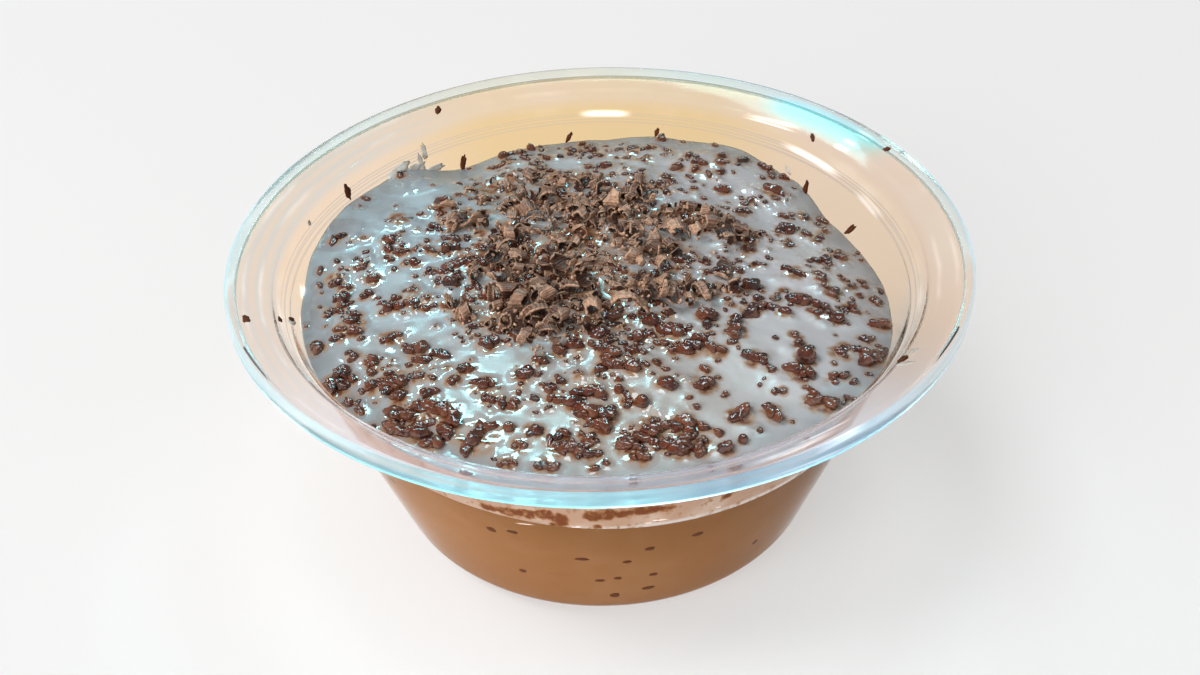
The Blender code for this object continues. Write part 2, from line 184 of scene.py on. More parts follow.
class Dye(Network):
    """A material under construction, with the shader nodes that the finishes share."""

    def __init__(self, name: str) -> None:
        """Makes the material.

        Args:
            name: The material's name.
        """
        self.material = bpy.data.materials.new(name)
        self.material.use_nodes = True
        super().__init__(self.material.node_tree)
        self.place = self.add("ShaderNodeTexCoord", None, None, "Object")
        parts = self.add("ShaderNodeSeparateXYZ", None, {0: self.place})
        self.across = parts.other("X")
        self.away = parts.other("Y")
        self.height = parts.other("Z")

    def radius(self) -> Value:
        """Distance from the cup's axis."""
        return (self.across * self.across + self.away * self.away).math("SQRT")

    def noise(self, size: float, detail: float = 2.0, stretch: Colour = (1.0, 1.0, 1.0)) -> Value:
        """Cloudy noise from 0 to 1.

        Args:
            size: Width of one patch, in metres.
            detail: How many finer layers it has.
            stretch: How much finer it is along X, Y and Z.

        Returns:
            The noise.
        """
        mapped = self.add("ShaderNodeMapping", None, {"Vector": self.place, "Scale": stretch})
        inputs = {"Vector": mapped, "Scale": 1.0 / size, "Detail": detail}
        return self.add("ShaderNodeTexNoise", None, inputs, "Fac")

    def attribute(self, name: str) -> Value:
        """A number that the mesh keeps under a name."""
        return self.add("ShaderNodeAttribute", {"attribute_name": name}, None, "Fac")

    def mix(self, share: Value | float, first: Value | Colour, second: Value | Colour) -> Value:
        """Blends the second colour into the first, by a share from 0 to 1."""
        return self.add("ShaderNodeMix", {"data_type": "RGBA"}, {0: share, 6: first, 7: second}, 2)

    def layered(self, first: Value | Colour, *coats: tuple[Value, Value | Colour]) -> Value | Colour:
        """Lays colours over a first one, in turn.

        Args:
            first: The lowest colour.
            coats: How much of each shows, from 0 to 1, and its colour.

        Returns:
            What shows.
        """
        for share, colour in coats:
            first = self.mix(share, first, colour)
        return first

    def bump(
        self, height: Value, distance: float, strength: float = 1.0, under: Value | None = None
    ) -> Value:
        """Relief from a height from 0 to 1, where 1 stands for the distance; it may lie on other relief."""
        inputs = {"Height": height, "Distance": distance, "Strength": strength}
        return self.add("ShaderNodeBump", None, inputs | ({"Normal": under} if under else {}))

    def principled(self, **inputs: Value | float | Colour) -> Value:
        """A Principled shader; an input's name is written in the way of base_color."""
        names = [name.replace("_", " ").title().replace("Ior", "IOR") for name in inputs]
        return self.add("ShaderNodeBsdfPrincipled", None, dict(zip(names, inputs.values())))

    def finished(self, surface: Value) -> Material:
        """The material, with this shader as its surface."""
        self.add("ShaderNodeOutputMaterial", None, {"Surface": surface})
        return self.material

    def coated(self, **inputs: Value | float | Colour) -> Material:
        """The material, with a Principled surface."""
        return self.finished(self.principled(**inputs))


class Recipe(Network):
    """A Geometry Nodes tree under construction, with one geometry input."""

    def __init__(self, name: str) -> None:
        """Makes the tree.

        Args:
            name: The tree's name.
        """
        super().__init__(bpy.data.node_groups.new(name, "GeometryNodeTree"))
        self.identifiers: dict[str, str] = {}
        self.tree.interface.new_socket("Geometry", in_out="OUTPUT", socket_type="NodeSocketGeometry")
        self.declare("Geometry", "NodeSocketGeometry")
        self.start: Value | None = None

    def declare(self, name: str, socket_type: str) -> None:
        """Adds a named input of a socket type, and keeps its identifier."""
        made = self.tree.interface.new_socket(name, in_out="INPUT", socket_type=socket_type)
        self.identifiers[name] = made.identifier

    def input(self, name: str) -> Value:
        """One of the tree's inputs, as a value."""
        self.start = self.start or self.add("NodeGroupInput")
        return self.start.other(name)

    def named(self, name: str, data_type: str) -> Value:
        """A number or vector that the points keep under a name."""
        return self.add("GeometryNodeInputNamedAttribute", {"data_type": data_type}, {"Name": name})

    def finished(self, geometry: Value) -> None:
        """Ends the tree in smooth, realized geometry with the Material input.

        Args:
            geometry: The geometry to hand out.
        """
        real = self.add("GeometryNodeRealizeInstances", None, {"Geometry": geometry})
        smooth = self.add("GeometryNodeSetShadeSmooth", None, {"Geometry": real})
        inputs = {"Geometry": smooth, "Material": self.input("Material")}
        dressed = self.add("GeometryNodeSetMaterial", None, inputs)
        self.add("NodeGroupOutput", None, {0: dressed})

    def cook(self, name: str, mesh: Mesh, inputs: dict[str, object]) -> Object:
        """Runs the tree on a mesh and keeps the result as a plain mesh.

        Args:
            name: The new object's name.
            mesh: What goes in.
            inputs: The named inputs' values.

        Returns:
            The object, at the origin.
        """
        made = shown(name, mesh)
        modifier = made.modifiers.new("recipe", "NODES")
        modifier.node_group = self.tree
        for label, given in inputs.items():
            modifier[self.identifiers[label]] = given
        graph = bpy.context.evaluated_depsgraph_get()
        result = bpy.data.meshes.new_from_object(made.evaluated_get(graph))
        made.modifiers.remove(modifier)
        made.data = result
        result.name = name
        return made


def turning_recipe() -> Recipe:
    """A recipe that turns a row of profile points about Z.

    Returns:
        The recipe, with inputs Steps and Material.
    """
    recipe = Recipe("turned_shell")
    recipe.declare("Steps", "NodeSocketInt")
    recipe.declare("Material", "NodeSocketMaterial")
    profile = recipe.input("Geometry")
    steps = recipe.input("Steps")
    count = recipe.add("GeometryNodeAttributeDomainSize", None, {"Geometry": profile})
    inputs = {"Vertices X": steps + 1, "Vertices Y": count, "Size X": 1.0, "Size Y": 1.0}
    grid = recipe.add("GeometryNodeMeshGrid", None, inputs)
    index = recipe.add("GeometryNodeInputIndex")
    row = index.math("MODULO", count)
    angle = (index / count + 0.001).math("FLOOR") * math.tau / steps
    place = recipe.add("GeometryNodeInputPosition")
    inputs = {"Geometry": profile, "Value": place, "Index": row}
    sampled = recipe.add("GeometryNodeSampleIndex", {"data_type": "FLOAT_VECTOR"}, inputs)
    parts = recipe.add("ShaderNodeSeparateXYZ", None, {0: sampled})
    inputs = {0: parts * angle.math("COSINE"), 1: parts * angle.math("SINE"), 2: parts.other("Z")}
    turned = recipe.add("ShaderNodeCombineXYZ", None, inputs)
    placed = recipe.add("GeometryNodeSetPosition", None, {"Geometry": grid, "Position": turned})
    closed = recipe.add("GeometryNodeMergeByDistance", None, {"Geometry": placed, "Distance": 0.001 * MM})
    recipe.finished(closed)
    return recipe


def scattering_recipe() -> Recipe:
    """A recipe that puts variants of a small shape on points.

    The points keep the turn, the size and the variant of each.

    Returns:
        The recipe, with inputs Variants and Material.
    """
    recipe = Recipe("scattered_pieces")
    recipe.declare("Variants", "NodeSocketCollection")
    recipe.declare("Material", "NodeSocketMaterial")
    inputs = {"Collection": recipe.input("Variants"), "Separate Children": True, "Reset Children": True}
    variants = recipe.add("GeometryNodeCollectionInfo", None, inputs)
    turn = recipe.add("FunctionNodeEulerToRotation", None, {0: recipe.named("turn", "FLOAT_VECTOR")})
    inputs = {
        "Points": recipe.input("Geometry"),
        "Instance": variants,
        "Pick Instance": True,
        "Instance Index": recipe.named("variant", "INT"),
        "Rotation": turn,
        "Scale": recipe.named("size", "FLOAT_VECTOR"),
    }
    recipe.finished(recipe.add("GeometryNodeInstanceOnPoints", None, inputs))
    return recipe


def shown(name: str, data: bpy.types.ID | None) -> Object:
    """A new object of the scene.

    Args:
        name: Its name.
        data: Its mesh, light or camera.

    Returns:
        The object.
    """
    made = bpy.data.objects.new(name, data)
    bpy.context.scene.collection.objects.link(made)
    return made


def polar(radius: float, angle: float) -> tuple[float, float]:
    """The place across and away at a radius and an angle."""
    return radius * math.cos(angle), radius * math.sin(angle)


def drawn_in(patch: Patch, draw: random.Random) -> Pixel:
    """Draws a pixel within an oval, given by its middle, half width and half height."""
    angle, spread = draw.uniform(0, math.tau), math.sqrt(draw.random())
    return patch[0] + patch[2] * spread * math.cos(angle), patch[1] + patch[3] * spread * math.sin(angle)


@dataclass
class Placement:
    """Where one scattered piece goes, and how."""

    place: Vector
    turn: Euler
    size: tuple[float, float, float]
    variant: int
    tone: float


def mesh_of(name: str, corners: Sequence[Sequence[float]], faces: Sequence[Sequence[int]] = ()) -> Mesh:
    """A mesh from its corners and faces.

    Args:
        name: The mesh's name.
        corners: The corners' places.
        faces: The corners of each face.

    Returns:
        The mesh.
    """
    mesh = bpy.data.meshes.new(name)
    mesh.from_pydata([tuple(corner) for corner in corners], [], [tuple(face) for face in faces])
    mesh.update()
    return mesh


def keep_numbers(mesh: Mesh, name: str, kind: str, numbers: Sequence[object]) -> None:
    """Keeps a value for each corner of a mesh under a name.

    Args:
        mesh: The mesh.
        name: The attribute's name.
        kind: FLOAT, INT or FLOAT_VECTOR.
        numbers: One value, or one vector, for each corner.
    """
    values = np.array(numbers, dtype=np.int32 if kind == "INT" else np.float32).ravel()
    field_name = "vector" if "VECTOR" in kind else "value"
    mesh.attributes.new(name, kind, "POINT").data.foreach_set(field_name, values)


def scattered(
    name: str, placements: Sequence[Placement], variants: Sequence[Mesh], material: Material
) -> Object:
    """One piece made of many small ones.

    Args:
        name: The piece's name.
        placements: Where they go.
        variants: Their shapes.
        material: Their finish.

    Returns:
        The piece.
    """
    shapes = bpy.data.collections.new(name + "_variants")
    for number, variant in enumerate(variants):
        shapes.objects.link(bpy.data.objects.new(f"{name}_{number:02d}", variant))
    points = mesh_of(name + "_points", [placement.place for placement in placements])
    kinds = {"turn": "FLOAT_VECTOR", "size": "FLOAT_VECTOR", "variant": "INT", "tone": "FLOAT"}
    for label, kind in kinds.items():
        keep_numbers(points, label, kind, [getattr(placement, label) for placement in placements])
    made = scattering_recipe().cook(name, points, {"Variants": shapes, "Material": material})
    for shape in list(shapes.objects):
        bpy.data.objects.remove(shape, do_unlink=True)
    bpy.data.collections.remove(shapes)
    return made


def ride(piece: Object, slot: str, *nodes: str) -> Object:
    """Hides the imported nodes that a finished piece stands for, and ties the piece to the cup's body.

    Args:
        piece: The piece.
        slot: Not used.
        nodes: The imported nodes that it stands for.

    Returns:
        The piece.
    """
    if nodes:
        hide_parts(*nodes)
    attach(piece, BODY)
    LOG.info("%s: %d faces", piece.name, len(piece.data.polygons))
    return piece


# The photograph's camera


@dataclass(frozen=True)
class PhotoCamera:
    """The photograph's camera, fitted to the ellipses of the lip."""

    place: tuple[float, float, float] = (0.0, -0.26531, 0.22879)
    yaw: float = -0.000865
    pitch: float = 0.64389
    roll: float = -0.02894
    focal: float = 2050.0
    width: float = 1200.0
    height: float = 675.0
    sensor: float = 36.0
    nearest: float = 0.01
    rounds: int = 8

    def axes(self) -> tuple[Vector, Vector, Vector]:
        """The camera's own directions.

        Returns:
            Right, up and forward.
        """
        level = Vector((math.cos(self.yaw), -math.sin(self.yaw), 0.0))
        level_share = math.cos(self.pitch)
        ahead = Vector((math.sin(self.yaw) * level_share, math.cos(self.yaw) * level_share, 0.0))
        forward = ahead - Vector((0.0, 0.0, math.sin(self.pitch)))
        upright = level.cross(forward)
        right = level * math.cos(self.roll) + upright * math.sin(self.roll)
        up = upright * math.cos(self.roll) - level * math.sin(self.roll)
        return right, up, forward

    def ray(self, pixel: Pixel) -> Vector:
        """Direction in which a pixel of the photograph looks.

        Args:
            pixel: Its place across and down.

        Returns:
            The direction, of length 1.
        """
        right, up, forward = self.axes()
        across = (pixel[0] - self.width / 2) / self.focal
        down = (pixel[1] - self.height / 2) / self.focal
        return (forward + right * across - up * down).normalized()

    def onto(self, pixel: Pixel, height_at: Callable[[float, float], float]) -> Vector:
        """Where a pixel's ray meets a gently curved surface.

        Args:
            pixel: The pixel.
            height_at: The surface's height at a place across and away.

        Returns:
            The point on the surface.
        """
        start = Vector(self.place)
        direction = self.ray(pixel)
        point = start
        height = height_at(0.0, 0.0)
        for _ in range(self.rounds):
            point = start + direction * ((height - start.z) / direction.z)
            height = height_at(point.x, point.y)
        return Vector((point.x, point.y, height))

    def cast(self, pixel: Pixel, surface: BVHTree) -> tuple[Vector, Vector]:
        """Where a pixel's ray meets a surface, and the surface's normal there."""
        place, normal, _, _ = surface.ray_cast(Vector(self.place), self.ray(pixel))
        return place, normal

    def raised(self, ground: Vector, height: float) -> Vector:
        """A place moved up along its ray, so that it stays where the photograph shows it."""
        ray = Vector(self.place) - ground
        return ground + ray * ((height - ground.z) / ray.z)

    def build(self) -> None:
        """Makes it the scene's camera."""
        data = bpy.data.cameras.new("photo_camera")
        data.sensor_width = self.sensor
        data.lens = self.focal / self.width * self.sensor
        data.clip_start = self.nearest
        made = shown("photo_camera", data)
        right, up, forward = self.axes()
        turn = Matrix((right, up, -forward)).transposed().to_4x4()
        made.matrix_world = Matrix.Translation(self.place) @ turn
        bpy.context.scene.camera = made


# Finishes


@dataclass(frozen=True)
class Streak:
    """A painted highlight streak on the plastic, from one pixel of the photograph to another."""

    start: Pixel
    end: Pixel
    half_height: float
    strength: float


@dataclass(frozen=True)
class Sheen:
    """A painted highlight streak as the shader needs it: its turn from the back and its height on the cup."""

    turn: float
    half_turn: float
    height: float
    slope: float
    half_height: float
    strength: float


@dataclass(frozen=True)
class ClearPlastic:
    """Thin clear plastic, with painted light in its tint and glow: a painted warm see-through colour, painted
    sheens and highlights, painted shade lines at the seat and a painted bluish highlight on the lip.
    """

    name: str = "clear_plastic"
    gloss: Colour = (0.05, 0.10, 0.11)
    # warm, warm_collar, peach, pink, pale, plain and plain_wall: painted see-through colour, the warm tan of
    # a surface behind the plastic, plainer and bluish at the front.
    warm: Colour = (0.97, 0.717, 0.40)
    warm_collar: Colour = (0.94, 0.74, 0.48)
    peach: Colour = (1.0, 0.79, 0.60)
    pink: Colour = (0.98, 0.78, 0.63)
    pale: Colour = (0.80, 0.775, 0.735)
    plain: Colour = (0.84, 0.86, 0.93)
    # Painted sheen: the collar glows faintly at the front and more at the left, standing in for reflected
    # light.
    painted_sheen: Colour = (0.060, 0.058, 0.068)
    painted_sheen_left: Colour = (0.17, 0.14, 0.13)
    # Painted shade: colour of the thin dark lines round the seat, also used to dim the collar under its
    # painted sheen at the left front.
    painted_shade_grey: Colour = (0.62, 0.57, 0.55)
    plain_wall: Colour = (0.98, 0.93, 0.87)
    # Painted highlight: the lip's bluish tint and its glow, strongest at the front and the right, stand in
    # for light caught in the lip.
    lip: Colour = (0.76, 0.92, 0.98)
    lip_glow_front: Colour = (0.025, 0.27, 0.34)
    lip_glow_right: Colour = (0.0, 0.14, 0.26)
    lip_glow_left: Colour = (0.01, 0.10, 0.12)
    lip_glow_back: Colour = (0.03, 0.055, 0.07)
    # Painted highlight: colour of the glowing streaks and rings.
    streak: Colour = (0.95, 0.97, 1.0)
    # Painted reflection: colour of the bright bluish patch of sky on the collar.
    sky: Colour = (0.52, 1.0, 0.96)
    shadow: Colour = (0.93, 0.93, 0.93)
    ior: float = 1.27
    # Heights of the painted dark lines round the seat.
    seat_lines: tuple[float, float] = (40.9 * MM, 41.7 * MM)
    # Where the painted highlight streaks and the painted sky reflection lie.
    sheens: tuple[Sheen, ...] = ()
    sky_patch: Sheen | None = None

    def build(self) -> Material:
        """Makes the material.

        Returns:
            The material.
        """
        dye = Dye(self.name)
        radius = dye.radius()
        toward = dye.away / radius
        rightward = dye.across / radius
        front = toward.rise(0.1, -0.6)
        right = rightward.rise(0.35, 0.8)
        left = rightward.rise(-0.35, -0.8)
        beside = (left + right).clamped()
        # Painted see-through colour: warm behind the wall and the collar, peach at the sides, plain at the
        # front; the pale bands on the left collar are painted light along its moulded rings.
        wall = dye.layered(self.warm, (beside, self.peach), (front, self.plain_wall))
        bands = (radius / (0.32 * MM) + dye.noise(10 * MM, 1.0) * 3.0).math("SINE") * 0.5 + 0.5
        collar = dye.layered(
            self.warm_collar,
            (dye.noise(14 * MM, 2.0) * 0.9, self.pink),
            (right, self.pink),
            (left * 0.8, dye.mix(bands * 0.55, self.pale, self.peach)),
            (toward.rise(-0.35, -0.92), self.plain),
        )
        low = dye.mix(radius.rise(50.6 * MM, 51.4 * MM), wall, collar)
        # Painted reflection: a bluish patch of sky on the collar.
        if self.sky_patch is not None:
            low = dye.mix((self.lit_by(self.sky_patch, dye) * 2.2).clamped(), low, self.sky)
        # Painted shade: thin dark lines round the seat, at the sides and the back, not at the front.
        lined = (beside * 0.7 + toward.rise(-0.1, 0.5) * 0.45).clamped()
        for line in self.seat_lines:
            low = dye.mix(dye.height.band(line, 0.17 * MM) * lined, low, self.painted_shade_grey)
        nearest = toward.rise(-0.35, -0.95)
        # Painted sheen on the collar at the front and the left; at the left it also dims what shows through.
        left_sheen = left * toward.rise(0.1, -0.5) * radius.rise(50.5 * MM, 52.0 * MM)
        on_lip = (radius + nearest * 0.45 * MM).rise(57.6 * MM, 58.1 * MM)
        tint = dye.layered(low, (left_sheen * 0.5, self.painted_shade_grey), (on_lip, self.lip))
        front_sheen = nearest * radius.rise(49.5 * MM, 51.5 * MM)
        collar_glow = dye.layered(BLACK, (front_sheen, self.painted_sheen), (left_sheen * 0.35, self.painted_sheen_left))
        # Painted highlight: the lip glows bluish, most at the front and the right.
        lip_glow = dye.layered(
            self.lip_glow_back,
            (toward.rise(0.35, -0.55), self.lip_glow_front),
            (rightward.rise(-0.05, 0.35) * 0.9, self.lip_glow_right),
            (rightward.rise(0.55, 0.85) * 0.8, self.lip_glow_back),
            (rightward.rise(-0.40, -0.80) * 0.8, self.lip_glow_left),
        )
        # Painted highlight: faint bright rings on the collar above the seat glow on the plastic, together
        # with the streaks.
        waver = radius / (0.42 * MM) + dye.noise(9 * MM, 1.0) * 2.0
        rings = (waver.math("SINE") * 0.5 + 0.5).math("POWER", 7.0) * dye.noise(12 * MM, 2.0).rise(0.45, 0.75)
        lit = rings * 0.10 * dye.height.rise(40.5 * MM, 41.5 * MM)
        for sheen in self.sheens:
            lit = lit.math("MAXIMUM", self.lit_by(sheen, dye))
        glow = dye.layered(collar_glow, (on_lip, lip_glow), (lit.clamped(), self.streak))
        roughness = dye.noise(6 * MM).rise(0.35, 0.8) * 0.05 + 0.05 + on_lip * 0.28
        relief = dye.bump(dye.noise(9 * MM, 1.0), 0.02 * MM)
        plastic = dye.principled(
            base_color=tint,
            roughness=roughness,
            ior=self.ior,
            specular_tint=self.gloss,
            transmission_weight=1.0,
            emission_color=glow,
            emission_strength=1.0,
            normal=relief,
        )
        shadow = dye.add("ShaderNodeLightPath", None, None, "Is Shadow Ray")
        let_through = dye.add("ShaderNodeBsdfTransparent", None, {"Color": self.shadow})
        return dye.finished(dye.add("ShaderNodeMixShader", None, {0: shadow, 1: plastic, 2: let_through}))

    @staticmethod
    def lit_by(sheen: Sheen, dye: Dye) -> Value:
        """How much a painted highlight streak brightens a point.

        Args:
            sheen: The streak.
            dye: The material.

        Returns:
            The share.
        """
        turn = dye.across.math("ARCTAN2", dye.away)
        level = dye.height - turn * sheen.slope
        along = turn.band(sheen.turn, sheen.half_turn)
        return (along * 1.6).clamped() * level.band(sheen.height, sheen.half_height) * sheen.strength


@dataclass(frozen=True)
class CaramelPudding:
    """Smooth caramel-brown milk pudding, seen through the wall."""

    body: Colour = (0.40, 0.180, 0.066)
    pale: Colour = (0.47, 0.245, 0.115)
    deep: Colour = (0.32, 0.125, 0.038)

    def build(self) -> Material:
        """Makes the material.

        Returns:
            The material.
        """
        dye = Dye("caramel_pudding")
        cloudy = dye.noise(11 * MM, 3.0).rise(0.35, 0.75)
        mottled = dye.noise(2.4 * MM, 2.0).rise(0.55, 0.85)
        body = dye.layered(
            self.body,
            (cloudy * 0.5, self.pale),
            (mottled * 0.35, self.deep),
            (dye.height.rise(4 * MM, 0.5 * MM) * 0.6, self.deep),
        )
        return dye.coated(base_color=body, roughness=0.5, specular_ior_level=0.12)


@dataclass(frozen=True)
class PaleCream:
    """Wet pale cream, browned where chocolate has melted into it, with painted light: paler on its right, a
    painted blue reflection on its left, and painted shade towards its rim and under the curls.
    """

    top: Colour = (0.50, 0.53, 0.55)
    shade: Colour = (0.39, 0.41, 0.43)
    warm: Colour = (0.58, 0.50, 0.38)
    beige: Colour = (0.53, 0.485, 0.43)
    # Painted light: the cream is paler towards the right.
    light: Colour = (0.73, 0.74, 0.77)
    # Painted reflection: bluish on the left of the cream.
    painted_blue_reflection: Colour = (0.42, 0.54, 0.59)
    tan: Colour = (0.45, 0.29, 0.18)
    stain: Colour = (0.20, 0.062, 0.026)
    # Painted shade: darker purplish colour towards the cream's rim.
    rim: Colour = (0.25, 0.235, 0.25)

    def build(self) -> Material:
        """Makes the material.

        Returns:
            The material.
        """
        dye = Dye("pale_cream")
        cloudy = dye.noise(8 * MM, 2.0).rise(0.35, 0.7)
        patchy = dye.noise(3.5 * MM, 2.0).rise(0.45, 0.75)
        # Painted reflection: bluish towards the left, most at the back left.
        far_left = dye.across.rise(4 * MM, -28 * MM) * (dye.away.rise(-26 * MM, 20 * MM) * 0.6 + 0.4)
        # Painted shade: darker towards the rim, in patches.
        rim_shade = dye.attribute("rim").rise(0.80, 1.0) * (dye.noise(4 * MM) * 0.9 + 0.2)
        # The stain is melted chocolate round the bits and, under the curls, also painted shade.
        stained = dye.attribute("stain") * (dye.noise(1.6 * MM).rise(0.3, 0.7) * 0.9 + 0.35)
        top = dye.layered(
            self.top,
            (cloudy * 0.5, self.shade),
            (patchy * 0.35, self.warm),
            (dye.away.rise(0.0, -34 * MM) * 0.75, self.beige),
            (dye.across.rise(6 * MM, 34 * MM) * 0.75, self.light),
            (far_left * 0.9, self.painted_blue_reflection),
            (rim_shade.clamped(), self.rim),
            (stained.rise(0.05, 0.6), self.tan),
            (stained.rise(0.45, 0.95), self.stain),
        )
        fine = dye.noise(1.5 * MM, 0.5)
        near = dye.attribute("near")
        relief = dye.bump(fine * (near * 0.95 + 0.08), 0.30 * MM, 0.9)
        still = near.rise(0.42, 0.10)
        roughness = dye.noise(4 * MM).rise(0.3, 0.8) * 0.04 + 0.025 + still * 0.31
        return dye.coated(base_color=top, roughness=roughness, specular_ior_level=0.9, normal=relief)


@dataclass(frozen=True)
class CreamAtWall:
    """The cream's side, wet against the wall, with a bright line at its foot and chocolate smeared on it."""

    side: Colour = (0.66, 0.42, 0.30)
    pale: Colour = (0.86, 0.70, 0.60)
    line: Colour = (1.0, 0.93, 0.90)
    smear: Colour = (0.24, 0.062, 0.014)
    tan: Colour = (0.50, 0.24, 0.10)
    line_height: float = 27.5 * MM

    def build(self) -> Material:
        """Makes the material.

        Returns:
            The material.
        """
        dye = Dye("cream_at_wall")
        bright = dye.height.band(self.line_height, 1.0 * MM) * dye.noise(5 * MM).rise(0.15, 0.5)
        broken = dye.noise(1.1 * MM, 2.0, (1.0, 1.0, 0.35)) + dye.noise(0.7 * MM, 1.0) * 0.4 - 0.70
        smeared = dye.attribute("smear") * 0.9 + broken * 1.9
        side = dye.layered(
            self.side,
            (dye.noise(6 * MM, 2.0).rise(0.4, 0.7) * 0.7, self.pale),
            (bright, self.line),
            (smeared.rise(0.05, 0.55), self.tan),
            (smeared.rise(0.40, 0.95), self.smear),
        )
        return dye.coated(base_color=side, roughness=0.4, specular_ior_level=0.1)


@dataclass(frozen=True)
class MeltedChocolate:
    """Wet, half-melted chocolate, from deep brown to reddish."""

    dark: Colour = (0.042, 0.014, 0.011)
    red: Colour = (0.150, 0.030, 0.010)
    milk: Colour = (0.20, 0.070, 0.036)
    amber: Colour = (0.24, 0.066, 0.018)
    ior: float = 1.65

    def build(self) -> Material:
        """Makes the material.

        Returns:
            The material.
        """
        dye = Dye("melted_chocolate")
        tone = dye.attribute("tone")
        patch = dye.noise(1.4 * MM, 2.0).rise(0.3, 0.7)
        near_front = dye.away.rise(-4 * MM, -36 * MM) * dye.noise(2.6 * MM, 1.0).rise(0.35, 0.65)
        brown = dye.layered(
            self.dark,
            (patch, self.red),
            (tone.rise(0.45, 1.0) * 0.8, self.milk),
            (near_front * 0.5, self.amber),
        )
        relief = dye.bump(dye.noise(0.8 * MM, 1.0), 0.12 * MM, 0.8)
        roughness = dye.noise(1.1 * MM).rise(0.35, 0.75) * 0.10 + 0.09
        return dye.coated(
            base_color=brown, roughness=roughness, ior=self.ior, specular_ior_level=1.0, normal=relief
        )


@dataclass(frozen=True)
class DryChocolate:
    """Dry grated milk chocolate, matt, with fine ridges across each curl, painted highlight on the ridges and
    edges and painted shade in the hollow.
    """

    # light also serves as painted highlight on the ridges and edges, and dark as painted shade in the hollow;
    # both also give tone that differs at random.
    light: Colour = (0.76, 0.47, 0.31)
    middle: Colour = (0.150, 0.062, 0.036)
    dark: Colour = (0.045, 0.017, 0.011)
    ridge_count: float = 11.0

    def build(self) -> Material:
        """Makes the material.

        Returns:
            The material.
        """
        dye = Dye("dry_chocolate")
        tone = dye.attribute("tone")
        hollow = dye.attribute("hollow")
        layout = dye.add("ShaderNodeUVMap", {"uv_map": "UVMap"})
        along = dye.add("ShaderNodeSeparateXYZ", None, {0: layout})
        turns = along * (self.ridge_count * math.tau) + dye.noise(0.8 * MM) * 4.0
        ridges = turns.math("SINE") * 0.5 + 0.5
        edge = (along.other("Y") - 0.5).math("ABSOLUTE").rise(0.30, 0.5)
        worn = dye.noise(0.6 * MM, 3.0)
        brown = dye.layered(
            self.middle,
            (tone.rise(0.12, 0.85) * 0.9, self.light),
            (worn.rise(0.60, 0.38) * 0.5, self.dark),
            # Painted highlight: paler on the ridges and towards the edges.
            ((ridges * 0.24 + edge * 0.70).clamped(), self.light),
            # Painted shade: the hollow side of each curl is darkened.
            (hollow * 0.90, self.dark),
        )
        relief = dye.bump(worn, 0.12 * MM, 0.6, dye.bump(ridges, 0.09 * MM, 0.9))
        return dye.coated(base_color=brown, roughness=0.40, specular_ior_level=0.7, normal=relief)


@dataclass(frozen=True)
class PaleFloor:
    """A plain pale floor, which glows a little so that its shadows stay soft."""

    colour: Colour = (0.48, 0.48, 0.48)
    glow: float = 0.485

    def build(self) -> Material:
        """Makes the material.

        Returns:
            The material.
        """
        dye = Dye("pale_floor")
        return dye.coated(
            base_color=self.colour,
            roughness=0.9,
            specular_ior_level=0.0,
            emission_color=WHITE,
            emission_strength=self.glow,
        )


# The cup


